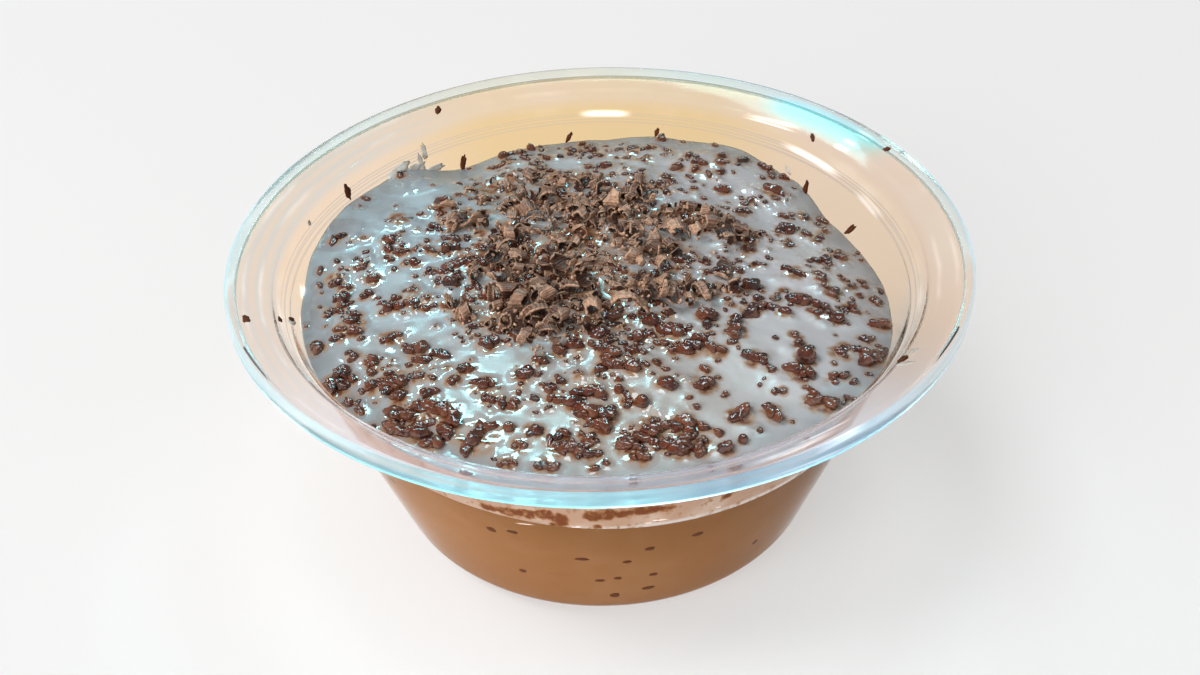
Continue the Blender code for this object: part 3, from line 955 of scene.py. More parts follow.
@dataclass(frozen=True)
class Cup:
    """The clear cup: floor, leaning wall, seat for a lid, sloping collar and rounded lip."""

    lip_radius: float = 58.5 * MM
    height: float = 46.8 * MM
    wall: float = 0.6 * MM
    foot_radius: float = 28.7 * MM
    corner_radius: float = 6.4 * MM
    lean: float = math.radians(21.4)
    floor_rise: float = 0.8 * MM
    floor_panel_radius: float = 24.5 * MM
    seat_height: float = 40.7 * MM
    seat_width: float = 1.2 * MM
    seat_rise: float = 0.8 * MM
    seat_bend: float = 1.5 * MM
    collar_radius: float = 51.2 * MM
    collar_height: float = 44.7 * MM
    collar_bend: float = 0.9 * MM
    collar_outer_height: float = 46.0 * MM
    collar_rim_run: float = 2.3 * MM
    collar_rim_drop: float = 0.55 * MM
    lip_width: float = 1.9 * MM
    lip_drop: float = 2.15 * MM
    skirt_lean: float = 0.15 * MM
    skirt_width: float = 1.2 * MM
    corner_points: int = 12
    bend_points: int = 6
    lip_points: int = 14
    steps: int = 384
    tree_steps: int = 96
    wall_ior: float = 1.06
    wall_finish_height: float = 43.7 * MM
    # Painted highlights on the plastic, as pixels: bright streaks on the seat and the collar, glints along
    # the fill line and on the left wall.
    streaks: tuple[Streak, ...] = (
        Streak((576, 115), (634, 115), 0.55 * MM, 0.95),
        Streak((776, 142), (842, 180), 0.45 * MM, 0.75),
        Streak((738, 116), (800, 134), 0.22 * MM, 0.8),
        Streak((832, 144), (848, 152), 0.22 * MM, 0.8),
        Streak((852, 190), (880, 222), 0.30 * MM, 0.35),
        Streak((735, 469), (850, 421), 0.26 * MM, 0.42),
        Streak((765, 462), (832, 432), 0.12 * MM, 0.6),
        Streak((786, 448), (858, 414), 0.10 * MM, 0.5),
        Streak((515, 520), (537, 522), 0.20 * MM, 1.0),
        Streak((571, 524), (583, 524), 0.24 * MM, 1.0),
        Streak((643, 521), (652, 519), 0.18 * MM, 0.9),
        Streak((649, 518), (669, 516), 0.20 * MM, 1.0),
        Streak((713, 505), (720, 504), 0.18 * MM, 0.8),
        Streak((305, 284), (305.6, 302), 0.9 * MM, 0.7),
        Streak((304.5, 316), (305.5, 334), 0.9 * MM, 0.6),
    )
    # Painted reflection: the bluish patch of sky on the collar, at the back right.
    sky_patch: Streak = Streak((750, 98), (895, 160), 1.15 * MM, 0.95)

    def wall_radius(self, height: float, inset: float) -> float:
        """Radius of the leaning wall.

        Args:
            height: Height above the foot.
            inset: How far inside the cup's outer face.

        Returns:
            The radius.
        """
        corner, slant = self.corner_radius, math.cos(self.lean)
        rise = (height - corner * (1 - math.sin(self.lean))) * math.tan(self.lean)
        return self.foot_radius + corner * slant + rise - inset / slant

    @staticmethod
    def arc(centre: Pixel, radius: float, start: float, end: float, count: int) -> Profile:
        """Points of a profile on an arc, from a start angle to an end angle."""
        angles = [start + (end - start) * step / (count - 1) for step in range(count)]
        return [(centre[0] + out, centre[1] + up) for out, up in [polar(radius, angle) for angle in angles]]

    @staticmethod
    def eased(points: Profile, count: int) -> Profile:
        """Rounds the corners of a run of points with one quadratic bend each.

        Args:
            points: Radius and height of the run's points; the first and last stay.
            count: Points on each bend.

        Returns:
            The rounded run.
        """
        rounded = [points[0]]
        for before, corner, after in zip(points, points[1:], points[2:]):
            start = (Vector(before) + Vector(corner)) / 2 if before is not points[0] else Vector(before)
            end = (Vector(corner) + Vector(after)) / 2 if after is not points[-1] else Vector(after)
            for step in range(1, count + 1):
                share = step / count
                bend = start * (1 - share) ** 2 + Vector(corner) * 2 * share * (1 - share) + end * share**2
                rounded.append((bend.x, bend.y))
        return rounded

    def floor_and_corner(self, inset: float) -> Profile:
        """Floor and lower corner, from the middle outwards.

        Args:
            inset: How far they are moved inwards.

        Returns:
            Radius and height of each point.
        """
        centre = (self.foot_radius, self.corner_radius)
        corner = self.arc(centre, self.corner_radius - inset, -math.pi / 2, -self.lean, self.corner_points)
        panel = self.floor_panel_radius
        rise = self.floor_rise
        return [(0.0, rise + inset), (panel, rise + inset), (panel + 2 * rise, inset), *corner]

    def upper_run(self) -> Profile:
        """Inner face from the top of the wall over the seat and the collar to the lip.

        Returns:
            Radius and height of each point.
        """
        seat = self.wall_radius(self.seat_height, self.wall)
        lip_inner = self.lip_radius - self.lip_width
        bend = self.collar_bend
        return [
            (seat, self.seat_height),
            (seat + 0.5 * self.seat_width, self.seat_height + 0.3 * self.seat_rise),
            (seat + self.seat_width, self.seat_height + self.seat_rise),
            (self.collar_radius - 0.4 * bend, self.collar_height - 0.8 * bend),
            (self.collar_radius + 0.2 * bend, self.collar_height - 0.1 * bend),
            (self.collar_radius + bend, self.collar_height + 0.15 * bend),
            (lip_inner - self.collar_rim_run, self.collar_outer_height - self.collar_rim_drop),
            (lip_inner, self.collar_outer_height),
        ]

    def inner_face(self) -> Profile:
        """The whole inner face, from the floor's middle to the lip.

        Returns:
            Radius and height of each point.
        """
        height = self.seat_height - self.seat_bend
        upper = [(self.wall_radius(height, self.wall), height), *self.upper_run()]
        return [*self.floor_and_corner(self.wall), *self.eased(upper, self.bend_points)]

    @staticmethod
    def beside(points: Profile, distance: float) -> Profile:
        """A run moved sideways, to the right of its direction, with mitred corners.

        Args:
            points: Radius and height of the run's points.
            distance: How far it moves.

        Returns:
            The moved run.
        """
        moved = []
        for number, point in enumerate(points):
            here = Vector(point)
            before = Vector(points[max(number - 1, 0)])
            after = Vector(points[min(number + 1, len(points) - 1)])
            into = (here - before).normalized() if number > 0 else (after - here).normalized()
            out = (after - here).normalized() if number < len(points) - 1 else into
            side = (Vector((into.y, -into.x)) + Vector((out.y, -out.x))).normalized()
            reach = distance / max(side.dot(Vector((into.y, -into.x))), 0.5)
            moved.append((max(here.x + side.x * reach, 0.0), here.y + side.y * reach))
        return moved

    def profile(self) -> Profile:
        """Up the inner face, over the lip and down the outer face.

        Returns:
            Radius and height of each point.
        """
        inside = self.inner_face()
        outside = self.beside(inside, self.wall)
        outside[0] = (0.0, self.floor_rise)
        bead = 0.47 * self.lip_width
        centre = (self.lip_radius - bead, self.height - bead)
        lip = self.arc(centre, bead, math.radians(140), 0.0, self.lip_points)
        lip += [
            (self.lip_radius - 0.5 * self.skirt_lean, self.height - 0.75 * self.lip_drop),
            (self.lip_radius - self.skirt_lean, self.height - self.lip_drop),
            (self.lip_radius - self.skirt_width, self.height - self.lip_drop),
            (self.lip_radius - self.skirt_width - self.skirt_lean, self.collar_outer_height - self.wall),
        ]
        return inside + lip + outside[::-1]

    def build(self, camera: PhotoCamera) -> Object:
        """Turns and dresses the cup.

        Args:
            camera: The photograph's camera.

        Returns:
            The cup.
        """
        sheens = self.sheens(camera, self.streaks)
        sky_patch = self.sheens(camera, (self.sky_patch,))[0]
        above = ClearPlastic(sheens=sheens, sky_patch=sky_patch)
        below = ClearPlastic("clear_plastic_wall", ior=self.wall_ior, sheens=sheens)
        finishes = (above.build(), below.build())
        made = turned_piece("clear_cup", self.profile(), self.steps, finishes[0])
        made.data.materials.clear()
        for finish in finishes:
            made.data.materials.append(finish)
        for face in made.data.polygons:
            face.material_index = int(face.center.z < self.wall_finish_height)
        return ride(made, "clear_plastic", "cup")

    def sheens(self, camera: PhotoCamera, streaks: Sequence[Streak]) -> tuple[Sheen, ...]:
        """Places the painted highlight streaks on the cup.

        Args:
            camera: The photograph's camera.
            streaks: The streaks.

        Returns:
            The streaks' turns and heights.
        """
        tree = self.inner_tree()
        made = []
        for streak in streaks:
            ends = [camera.cast(pixel, tree)[0] for pixel in (streak.start, streak.end)]
            turns = [math.atan2(end.x, end.y) for end in ends]
            half_turn = max(abs(turns[1] - turns[0]) / 2, 0.006)
            slope = (ends[1].z - ends[0].z) / (turns[1] - turns[0]) if half_turn > 0.02 else 0.0
            turn = sum(turns) / 2
            height = (ends[0].z + ends[1].z) / 2 - turn * slope
            made.append(Sheen(turn, half_turn, height, slope, streak.half_height, streak.strength))
        return tuple(made)

    def inner_tree(self) -> BVHTree:
        """The inner face as a tree for casting rays, for what clings to it.

        Returns:
            The tree.
        """
        face = self.inner_face()
        turns = [math.tau * step / self.tree_steps for step in range(self.tree_steps)]
        corners = [(*polar(radius, turn), height) for radius, height in face for turn in turns]
        return BVHTree.FromPolygons(corners, ring_faces(0, len(face) - 1, self.tree_steps))


def ring_faces(first: int, rows: int, steps: int) -> list[tuple[int, ...]]:
    """Faces between rings of corners that follow each other.

    Args:
        first: Number of the first ring's first corner.
        rows: Number of rows of faces.
        steps: Number of corners in a ring.

    Returns:
        The corners of each face.
    """
    made = []
    for start in range(first, first + rows * steps, steps):
        for step in range(steps):
            after = (step + 1) % steps
            made.append((start + step, start + steps + step, start + steps + after, start + after))
    return made


def turned_piece(name: str, profile: Profile, steps: int, material: Material) -> Object:
    """A closed piece turned about Z from its profile.

    Args:
        name: The piece's name.
        profile: Radius and height of each point; both ends lie on the axis.
        steps: Number of steps round the axis.
        material: Its finish.

    Returns:
        The piece, with its faces pointing outwards.
    """
    points = mesh_of(name + "_profile", [(radius, 0.0, height) for radius, height in profile])
    made = turning_recipe().cook(name, points, {"Steps": steps, "Material": material})
    face_outwards(made.data)
    return made


def face_outwards(mesh: Mesh) -> None:
    """Turns a closed mesh's faces outwards.

    Args:
        mesh: The mesh.
    """
    shape = bmesh.new()
    shape.from_mesh(mesh)
    bmesh.ops.recalc_face_normals(shape, faces=list(shape.faces))
    shape.to_mesh(mesh)
    shape.free()


# The pudding and the cream


@dataclass(frozen=True)
class Fill:
    """Heights shared by the pudding, the cream and what lies on them."""

    cup: Cup
    camera: PhotoCamera
    into_wall: float = 0.38 * MM
    pudding_height: float = 27.0 * MM
    pudding_swell: float = 2.4 * MM
    swell_angle: float = math.radians(-130)
    swell_width: float = 0.55
    edge_heights: tuple[float, ...] = (
        34.9, 34.2, 34.4, 37.6, 39.2, 38.7, 37.9, 37.7, 36.9, 40.4, 40.7, 39.9,
        38.1, 37.9, 38.0, 38.0, 37.9, 37.7, 37.6, 37.5, 37.3, 37.0, 36.5, 35.7,
    )
    middle_height: float = 41.1 * MM
    dome_power: float = 2.4
    calm_power: float = 6.0
    uneven_edge: float = 0.30
    wave: float = 0.32 * MM
    wave_across: float = 4.9 * MM
    wave_away: float = 4.1 * MM
    ripple: float = 0.16 * MM
    ripple_length: float = 2.9 * MM
    wall_reach: tuple[float, float] = (0.15, 0.45)
    wall_steps: int = 600

    def line(self, angle: float) -> float:
        """Height of the line between pudding and cream on the wall, at an angle."""
        turn = (angle - self.swell_angle + math.pi) % math.tau - math.pi
        return self.pudding_height + self.pudding_swell * math.exp(-((turn / self.swell_width) ** 2))

    def edge(self, angle: float) -> float:
        """Height at which the cream meets the wall, at an angle.

        Args:
            angle: The angle round the cup, from +X.

        Returns:
            The height.
        """
        count = len(self.edge_heights)
        step = (angle % math.tau) / math.tau * count
        first = int(step) % count
        share = 0.5 - 0.5 * math.cos(math.pi * (step - int(step)))
        here = self.edge_heights[first]
        after = self.edge_heights[(first + 1) % count]
        where = Vector((*polar(4.5, angle), 3.0))
        uneven = self.uneven_edge * (noise.noise(where) + 0.5 * noise.noise(where * 2.7))
        return (here + (after - here) * share + uneven) * MM

    def edge_radius(self, angle: float) -> float:
        """Radius at which the cream meets the wall, at an angle."""
        return self.cup.wall_radius(self.edge(angle), self.into_wall)

    def top(self, across: float, away: float) -> float:
        """Height of the cream's upper face.

        Args:
            across: Place along X.
            away: Place along Y.

        Returns:
            The height.
        """
        angle = math.atan2(away, across)
        rim = self.edge(angle)
        part = min(math.hypot(across, away) / self.edge_radius(angle), 1.0)
        dome = self.middle_height + (rim - self.middle_height) * part**self.dome_power
        wave = self.wave * math.sin(across / self.wave_across + 0.6) * math.cos(away / self.wave_away - 0.4)
        ripple = self.ripple * math.sin((across + away) / self.ripple_length + 1.0)
        return dome + (wave + ripple) * (1 - part**self.calm_power)

    def kept_on(self, place: Vector, margin: float) -> Vector:
        """Moves a place in from the cream's edge where it is past it.

        Args:
            place: A place on the cream.
            margin: How far from the edge it stays.

        Returns:
            The place on the cream's upper face.
        """
        angle = math.atan2(place.y, place.x)
        radius = min(math.hypot(place.x, place.y), self.edge_radius(angle) - margin)
        across, away = polar(radius, angle)
        return Vector((across, away, self.top(across, away)))

    def on_cream(self, pixel: Pixel) -> Vector:
        """Where a pixel's ray meets the cream's upper face."""
        return self.camera.onto(pixel, self.top)

    def on_wall(self, pixel: Pixel) -> Vector:
        """Where a pixel's ray meets the fill behind the near side of the wall.

        Args:
            pixel: The pixel.

        Returns:
            The point.
        """
        start = Vector(self.camera.place)
        direction = self.camera.ray(pixel)
        low, high = self.wall_reach
        for step in range(self.wall_steps):
            point = start + direction * (low + (high - low) * step / self.wall_steps)
            inside = math.hypot(point.x, point.y) < self.cup.wall_radius(point.z, self.into_wall)
            if inside and point.z < self.cup.seat_height:
                return point
        return start + direction * high


@dataclass(frozen=True)
class Pudding:
    """The caramel-brown pudding under the cream, with dark specks against the wall."""

    fill: Fill
    steps: int = 192
    rows: int = 10
    speck_count: int = 80
    speck_depth: float = 0.16 * MM
    speck_pixels: tuple[Patch, ...] = (
        (650, 548, 10, 5), (697, 533, 12, 5), (653, 573, 9, 4), (648, 587, 13, 5), (615, 594, 10, 6),
        (582, 558, 14, 4), (492, 528, 10, 6), (600, 580, 10, 4), (618, 577, 8, 4), (627, 561, 9, 4),
        (754, 541, 7, 5), (523, 570, 8, 5), (513, 531, 12, 4),
    )

    def build(self) -> Object:
        """Makes the pudding; its top follows the line on the wall.

        Returns:
            The pudding.
        """
        fill = self.fill
        inset = fill.into_wall
        level = fill.pudding_height
        edge = fill.cup.wall_radius(level, inset)
        profile = [(edge * row / self.rows, level) for row in range(self.rows + 1)]
        profile += fill.cup.floor_and_corner(inset)[::-1]
        made = turned_piece("caramel_pudding", profile, self.steps, CaramelPudding().build())
        for corner in made.data.vertices:
            if corner.co.z > level - 0.01 * MM:
                angle = math.atan2(corner.co.y, corner.co.x)
                part = math.hypot(corner.co.x, corner.co.y) / edge
                height = level + (fill.line(angle) - level) * part
                corner.co = (*polar(fill.cup.wall_radius(height, inset) * part, angle), height)
        return ride(made, "caramel_pudding", "pudding")

    def build_specks(self) -> Object:
        """Puts the specks against the wall: those that the photograph shows, and more all round.

        Returns:
            The specks.
        """
        draw = random.Random(SEEDS["specks"])
        placements = [self.seen_speck(speck) for speck in self.speck_pixels]
        while len(placements) < self.speck_count:
            angle = draw.uniform(0, math.tau)
            height = draw.uniform(6, 25) * MM
            if abs(angle - math.radians(270)) > math.radians(50):
                length = draw.uniform(0.8, 2.0) * MM
                breadth = length * draw.uniform(0.4, 0.7)
                placements.append(self.speck(angle, height, length, breadth, draw.random()))
        variants = lump_meshes("speck", 4, 2, 0.25, 1.6, 0)
        for number, placement in enumerate(placements):
            placement.variant = number % len(variants)
        made = scattered("pudding_specks", placements, variants, SpeckFinish().build())
        return ride(made, "caramel_pudding")

    def speck(self, angle: float, height: float, length: float, breadth: float, tone: float) -> Placement:
        """A flat speck in the pudding's side.

        Args:
            angle: Angle round the cup.
            height: Its height.
            length: Its length along the wall.
            breadth: Its height on the wall.
            tone: How light it is.

        Returns:
            The placement.
        """
        radius = self.fill.cup.wall_radius(height, self.fill.into_wall)
        place = Vector((*polar(radius, angle), height))
        turn = Euler((self.fill.cup.lean, 0.0, angle + math.pi / 2))
        return Placement(place, turn, (length, self.speck_depth, breadth), 0, tone)

    def seen_speck(self, speck: Patch) -> Placement:
        """A speck where the photograph shows it.

        Args:
            speck: Pixel across and down, and its width and height in pixels.

        Returns:
            The placement.
        """
        point = self.fill.on_wall(speck[:2])
        sizes = (1.1 * speck[2] * ON_WALL, 1.7 * speck[3] * ON_WALL)
        return self.speck(math.atan2(point.y, point.x), point.z, *sizes, 0.15)


@dataclass(frozen=True)
class SpeckFinish:
    """Dark chocolate crumbs against the wall."""

    name: str = "pudding_speck"
    dark: Colour = (0.105, 0.025, 0.006)
    light: Colour = (0.25, 0.085, 0.025)

    def build(self) -> Material:
        """Makes the material.

        Returns:
            The material.
        """
        dye = Dye(self.name)
        tone = dye.attribute("tone")
        colour = dye.mix((tone * 0.8 + dye.noise(0.6 * MM) * 0.4).clamped(), self.dark, self.light)
        return dye.coated(base_color=colour, roughness=0.5, specular_ior_level=0.1)


def lump_meshes(
    name: str, count: int, subdivisions: int, unevenness: float, fineness: float, first_seed: int
) -> list[Mesh]:
    """Uneven rounded lumps about 1 across.

    Args:
        name: The meshes' name.
        count: Number of variants.
        subdivisions: How finely each ball is divided.
        unevenness: How much its radius varies.
        fineness: How many dents there are across it.
        first_seed: The first variant's seed.

    Returns:
        The meshes.
    """
    made = []
    for seed in range(first_seed, first_seed + count):
        shape = bmesh.new()
        bmesh.ops.create_icosphere(shape, subdivisions=subdivisions, radius=0.5)
        shift = Vector((seed * 7.31, seed * 3.17, seed * 5.53))
        for corner in shape.verts:
            where = corner.co * fineness * 2 + shift
            dent = noise.noise(where) + 0.45 * noise.noise(where * 2.3)
            corner.co *= 1 + unevenness * dent
        made.append(bpy.data.meshes.new(f"{name}_{seed}"))
        shape.to_mesh(made[-1])
        shape.free()
    return made


class BitKind(Enum):
    """How a chocolate bit lies in the cream."""

    MELTED = "melted"
    SUNK = "sunk"
    BEAD = "bead"


@dataclass(frozen=True)
class Bit:
    """A bit on the cream: its place, its size and how it lies."""

    place: Vector
    length: float
    breadth: float
    height: float
    turn: float
    kind: BitKind


# Bits that the photograph shows, as pixels: across, down, width and height. Those at the back are small.
LARGE_BITS = (
    (400, 415, 28, 20), (425, 409, 32, 16), (447, 413, 24, 16), (395, 431, 20, 20), (418, 433, 30, 18),
    (447, 431, 18, 26), (432, 444, 26, 14), (393, 384, 29, 27), (336, 386, 22, 33), (416, 351, 28, 14),
    (371, 361, 16, 12), (416, 378, 22, 12), (355, 333, 20, 12), (338, 339, 16, 10), (316, 349, 14, 16),
    (352, 357, 12, 14), (465, 370, 17, 15), (483, 386, 24, 16), (491, 402, 12, 12), (489, 345, 22, 18),
    (524, 376, 20, 14), (534, 431, 16, 16), (587, 394, 30, 14), (591, 414, 30, 25), (589, 439, 14, 14),
    (546, 468, 26, 8), (507, 464, 22, 6), (465, 319, 16, 18), (751, 312, 18, 18), (708, 317, 22, 18),
    (671, 331, 30, 20), (651, 321, 18, 16), (690, 349, 26, 14), (700, 339, 20, 12), (716, 351, 24, 14),
    (886, 327, 28, 14), (875, 361, 30, 22), (815, 403, 18, 20), (830, 409, 18, 22), (704, 386, 24, 18),
    (666, 383, 20, 16), (633, 369, 18, 14), (608, 416, 16, 18), (612, 361, 24, 28), (631, 445, 28, 24),
    (651, 433, 24, 20), (672, 427, 24, 12), (688, 437, 14, 18), (672, 446, 22, 12), (726, 449, 16, 14),
    (799, 301, 26, 16), (786, 230, 18, 16), (787, 246, 16, 10), (838, 256, 14, 18), (833, 293, 14, 16),
    (784, 314, 12, 14), (751, 287, 18, 14), (735, 291, 16, 11), (704, 291, 26, 12), (773, 191, 28, 14),
    (373, 281, 16, 14), (335, 281, 12, 16), (444, 203, 20, 12), (835, 319, 18, 14), (820, 308, 20, 12),
    (632, 352, 16, 12), (640, 338, 18, 14), (575, 345, 22, 14), (598, 335, 20, 14), (610, 318, 22, 14),
    (560, 352, 16, 12), (398, 398, 20, 12), (372, 388, 16, 16), (420, 362, 22, 12), (440, 357, 18, 12),
    (572, 450, 26, 12), (592, 455, 22, 10), (562, 437, 18, 12), (640, 458, 24, 10), (684, 424, 26, 14),
    (602, 428, 20, 16), (575, 405, 18, 14),
)
LEVEL_BITS = (
    (348, 404, 10, 8), (360, 412, 10, 10), (346, 370, 8, 8), (405, 347, 10, 8), (428, 394, 20, 10),
    (453, 382, 13, 12), (541, 363, 16, 12), (550, 390, 14, 10), (560, 402, 12, 10), (433, 307, 10, 8),
    (396, 300, 14, 10), (356, 316, 14, 12), (342, 300, 16, 12), (367, 296, 16, 10), (339, 312, 12, 8),
    (360, 269, 14, 10), (399, 254, 14, 10), (415, 264, 14, 10), (389, 242, 14, 12), (428, 250, 12, 9),
    (481, 200, 16, 10), (435, 228, 16, 10), (460, 218, 20, 12), (454, 240, 16, 8), (452, 250, 20, 12),
    (465, 263, 18, 9), (483, 263, 14, 14), (436, 273, 12, 8), (452, 285, 20, 12), (411, 303, 20, 10),
    (469, 301, 16, 12), (320, 271, 6, 10), (333, 242, 8, 14), (806, 235, 12, 9), (826, 263, 12, 14),
    (861, 283, 12, 8), (875, 301, 16, 8), (845, 281, 12, 7), (816, 275, 14, 6), (816, 314, 20, 10),
    (749, 250, 16, 10), (761, 266, 10, 8), (724, 271, 22, 9), (682, 293, 16, 10), (700, 164, 20, 10),
    (677, 169, 14, 14), (720, 163, 14, 10), (743, 161, 16, 10), (767, 169, 14, 8), (771, 158, 10, 8),
    (722, 191, 20, 12), (741, 212, 22, 8), (822, 222, 14, 8), (607, 167, 16, 10), (644, 338, 14, 18),
    (771, 370, 10, 12), (833, 379, 10, 14), (844, 377, 12, 10), (892, 357, 12, 14), (775, 392, 8, 8),
    (603, 351, 12, 10), (410, 292, 16, 8), (425, 300, 14, 10), (398, 308, 12, 10), (448, 268, 16, 10),
    (345, 290, 14, 10), (352, 322, 16, 10), (340, 330, 14, 8), (662, 344, 14, 10), (600, 372, 12, 12),
)

# Long bits that lie at a slant, as pixels and degrees: across, down, length, breadth and turn on the cream.
SLANTED_BITS = (
    (477, 439, 50, 20, 62), (391, 339, 28, 11, 25), (794, 273, 32, 9, -28), (755, 359, 32, 13, -22),
    (800, 374, 34, 13, -20), (740, 416, 32, 15, 40), (774, 414, 28, 14, -62), (735, 331, 30, 14, 80),
    (736, 322, 20, 13, 70), (700, 449, 26, 11, 85), (682, 451, 22, 18, 20),
)
SUNK_BITS = (
    (558, 451, 12, 16), (841, 353, 14, 20), (399, 220, 34, 7), (700, 449, 14, 16), (549, 441, 8, 14),
    (640, 300, 20, 10), (520, 445, 20, 10), (866, 340, 18, 10), (425, 425, 26, 16), (850, 350, 30, 12),
)
BEADS = (
    (806, 359, 20), (642, 404, 14), (619, 391, 10), (600, 396, 12), (707, 326, 10), (509, 429, 11),
    (743, 441, 10), (548, 329, 14), (388, 310, 11), (852, 308, 10),
)

# Where small bits lie close together, as pixels: across, down, half width, half height and count.
BIT_FIELDS = (
    (540, 156, 44, 9, 30), (600, 153, 45, 9, 30), (660, 154, 44, 9, 14), (720, 164, 45, 9, 10),
    (775, 175, 20, 10, 6), (520, 172, 30, 10, 26), (480, 190, 30, 12, 18), (600, 178, 50, 12, 36),
    (660, 185, 40, 12, 24), (560, 200, 60, 14, 34), (450, 215, 30, 12, 14), (420, 240, 30, 12, 14),
    (385, 262, 30, 14, 14), (345, 270, 16, 20, 8), (470, 250, 40, 18, 40), (440, 285, 36, 16, 26),
    (480, 300, 36, 18, 34), (400, 305, 30, 10, 14), (345, 315, 20, 14, 12), (500, 335, 50, 14, 22),
    (590, 330, 40, 20, 34), (640, 350, 44, 18, 34), (690, 335, 44, 14, 26), (640, 310, 40, 14, 26),
    (700, 270, 40, 18, 24), (640, 262, 40, 16, 26), (750, 300, 30, 14, 16), (740, 255, 40, 14, 16),
    (800, 230, 26, 16, 16), (830, 270, 24, 20, 16), (860, 300, 24, 18, 12), (840, 320, 24, 14, 8),
    (720, 205, 40, 12, 10), (770, 205, 30, 12, 8), (360, 390, 30, 14, 10), (400, 372, 36, 16, 18),
    (520, 390, 40, 20, 16), (600, 410, 40, 20, 16), (660, 430, 40, 14, 14), (420, 420, 34, 20, 16),
    (790, 380, 30, 14, 6), (550, 240, 60, 50, 60), (640, 220, 60, 30, 40), (580, 446, 26, 12, 16),
    (650, 446, 34, 14, 22), (700, 440, 30, 14, 10), (590, 385, 40, 16, 16), (500, 400, 30, 16, 8),
    (522, 262, 34, 18, 44), (540, 302, 46, 22, 60), (508, 240, 20, 14, 18), (690, 225, 40, 10, 26),
    (600, 205, 34, 12, 20), (660, 288, 50, 12, 24),
)


# Patches where the cream is rippled without bits, as pixels: across, down, half width and half height.
RIPPLED = (
    (340, 235, 28, 14), (410, 185, 28, 10), (700, 160, 40, 12), (745, 192, 40, 10), (325, 300, 12, 24),
    (602, 243, 16, 8), (620, 275, 20, 8), (660, 152, 14, 7), (500, 184, 12, 6),
)


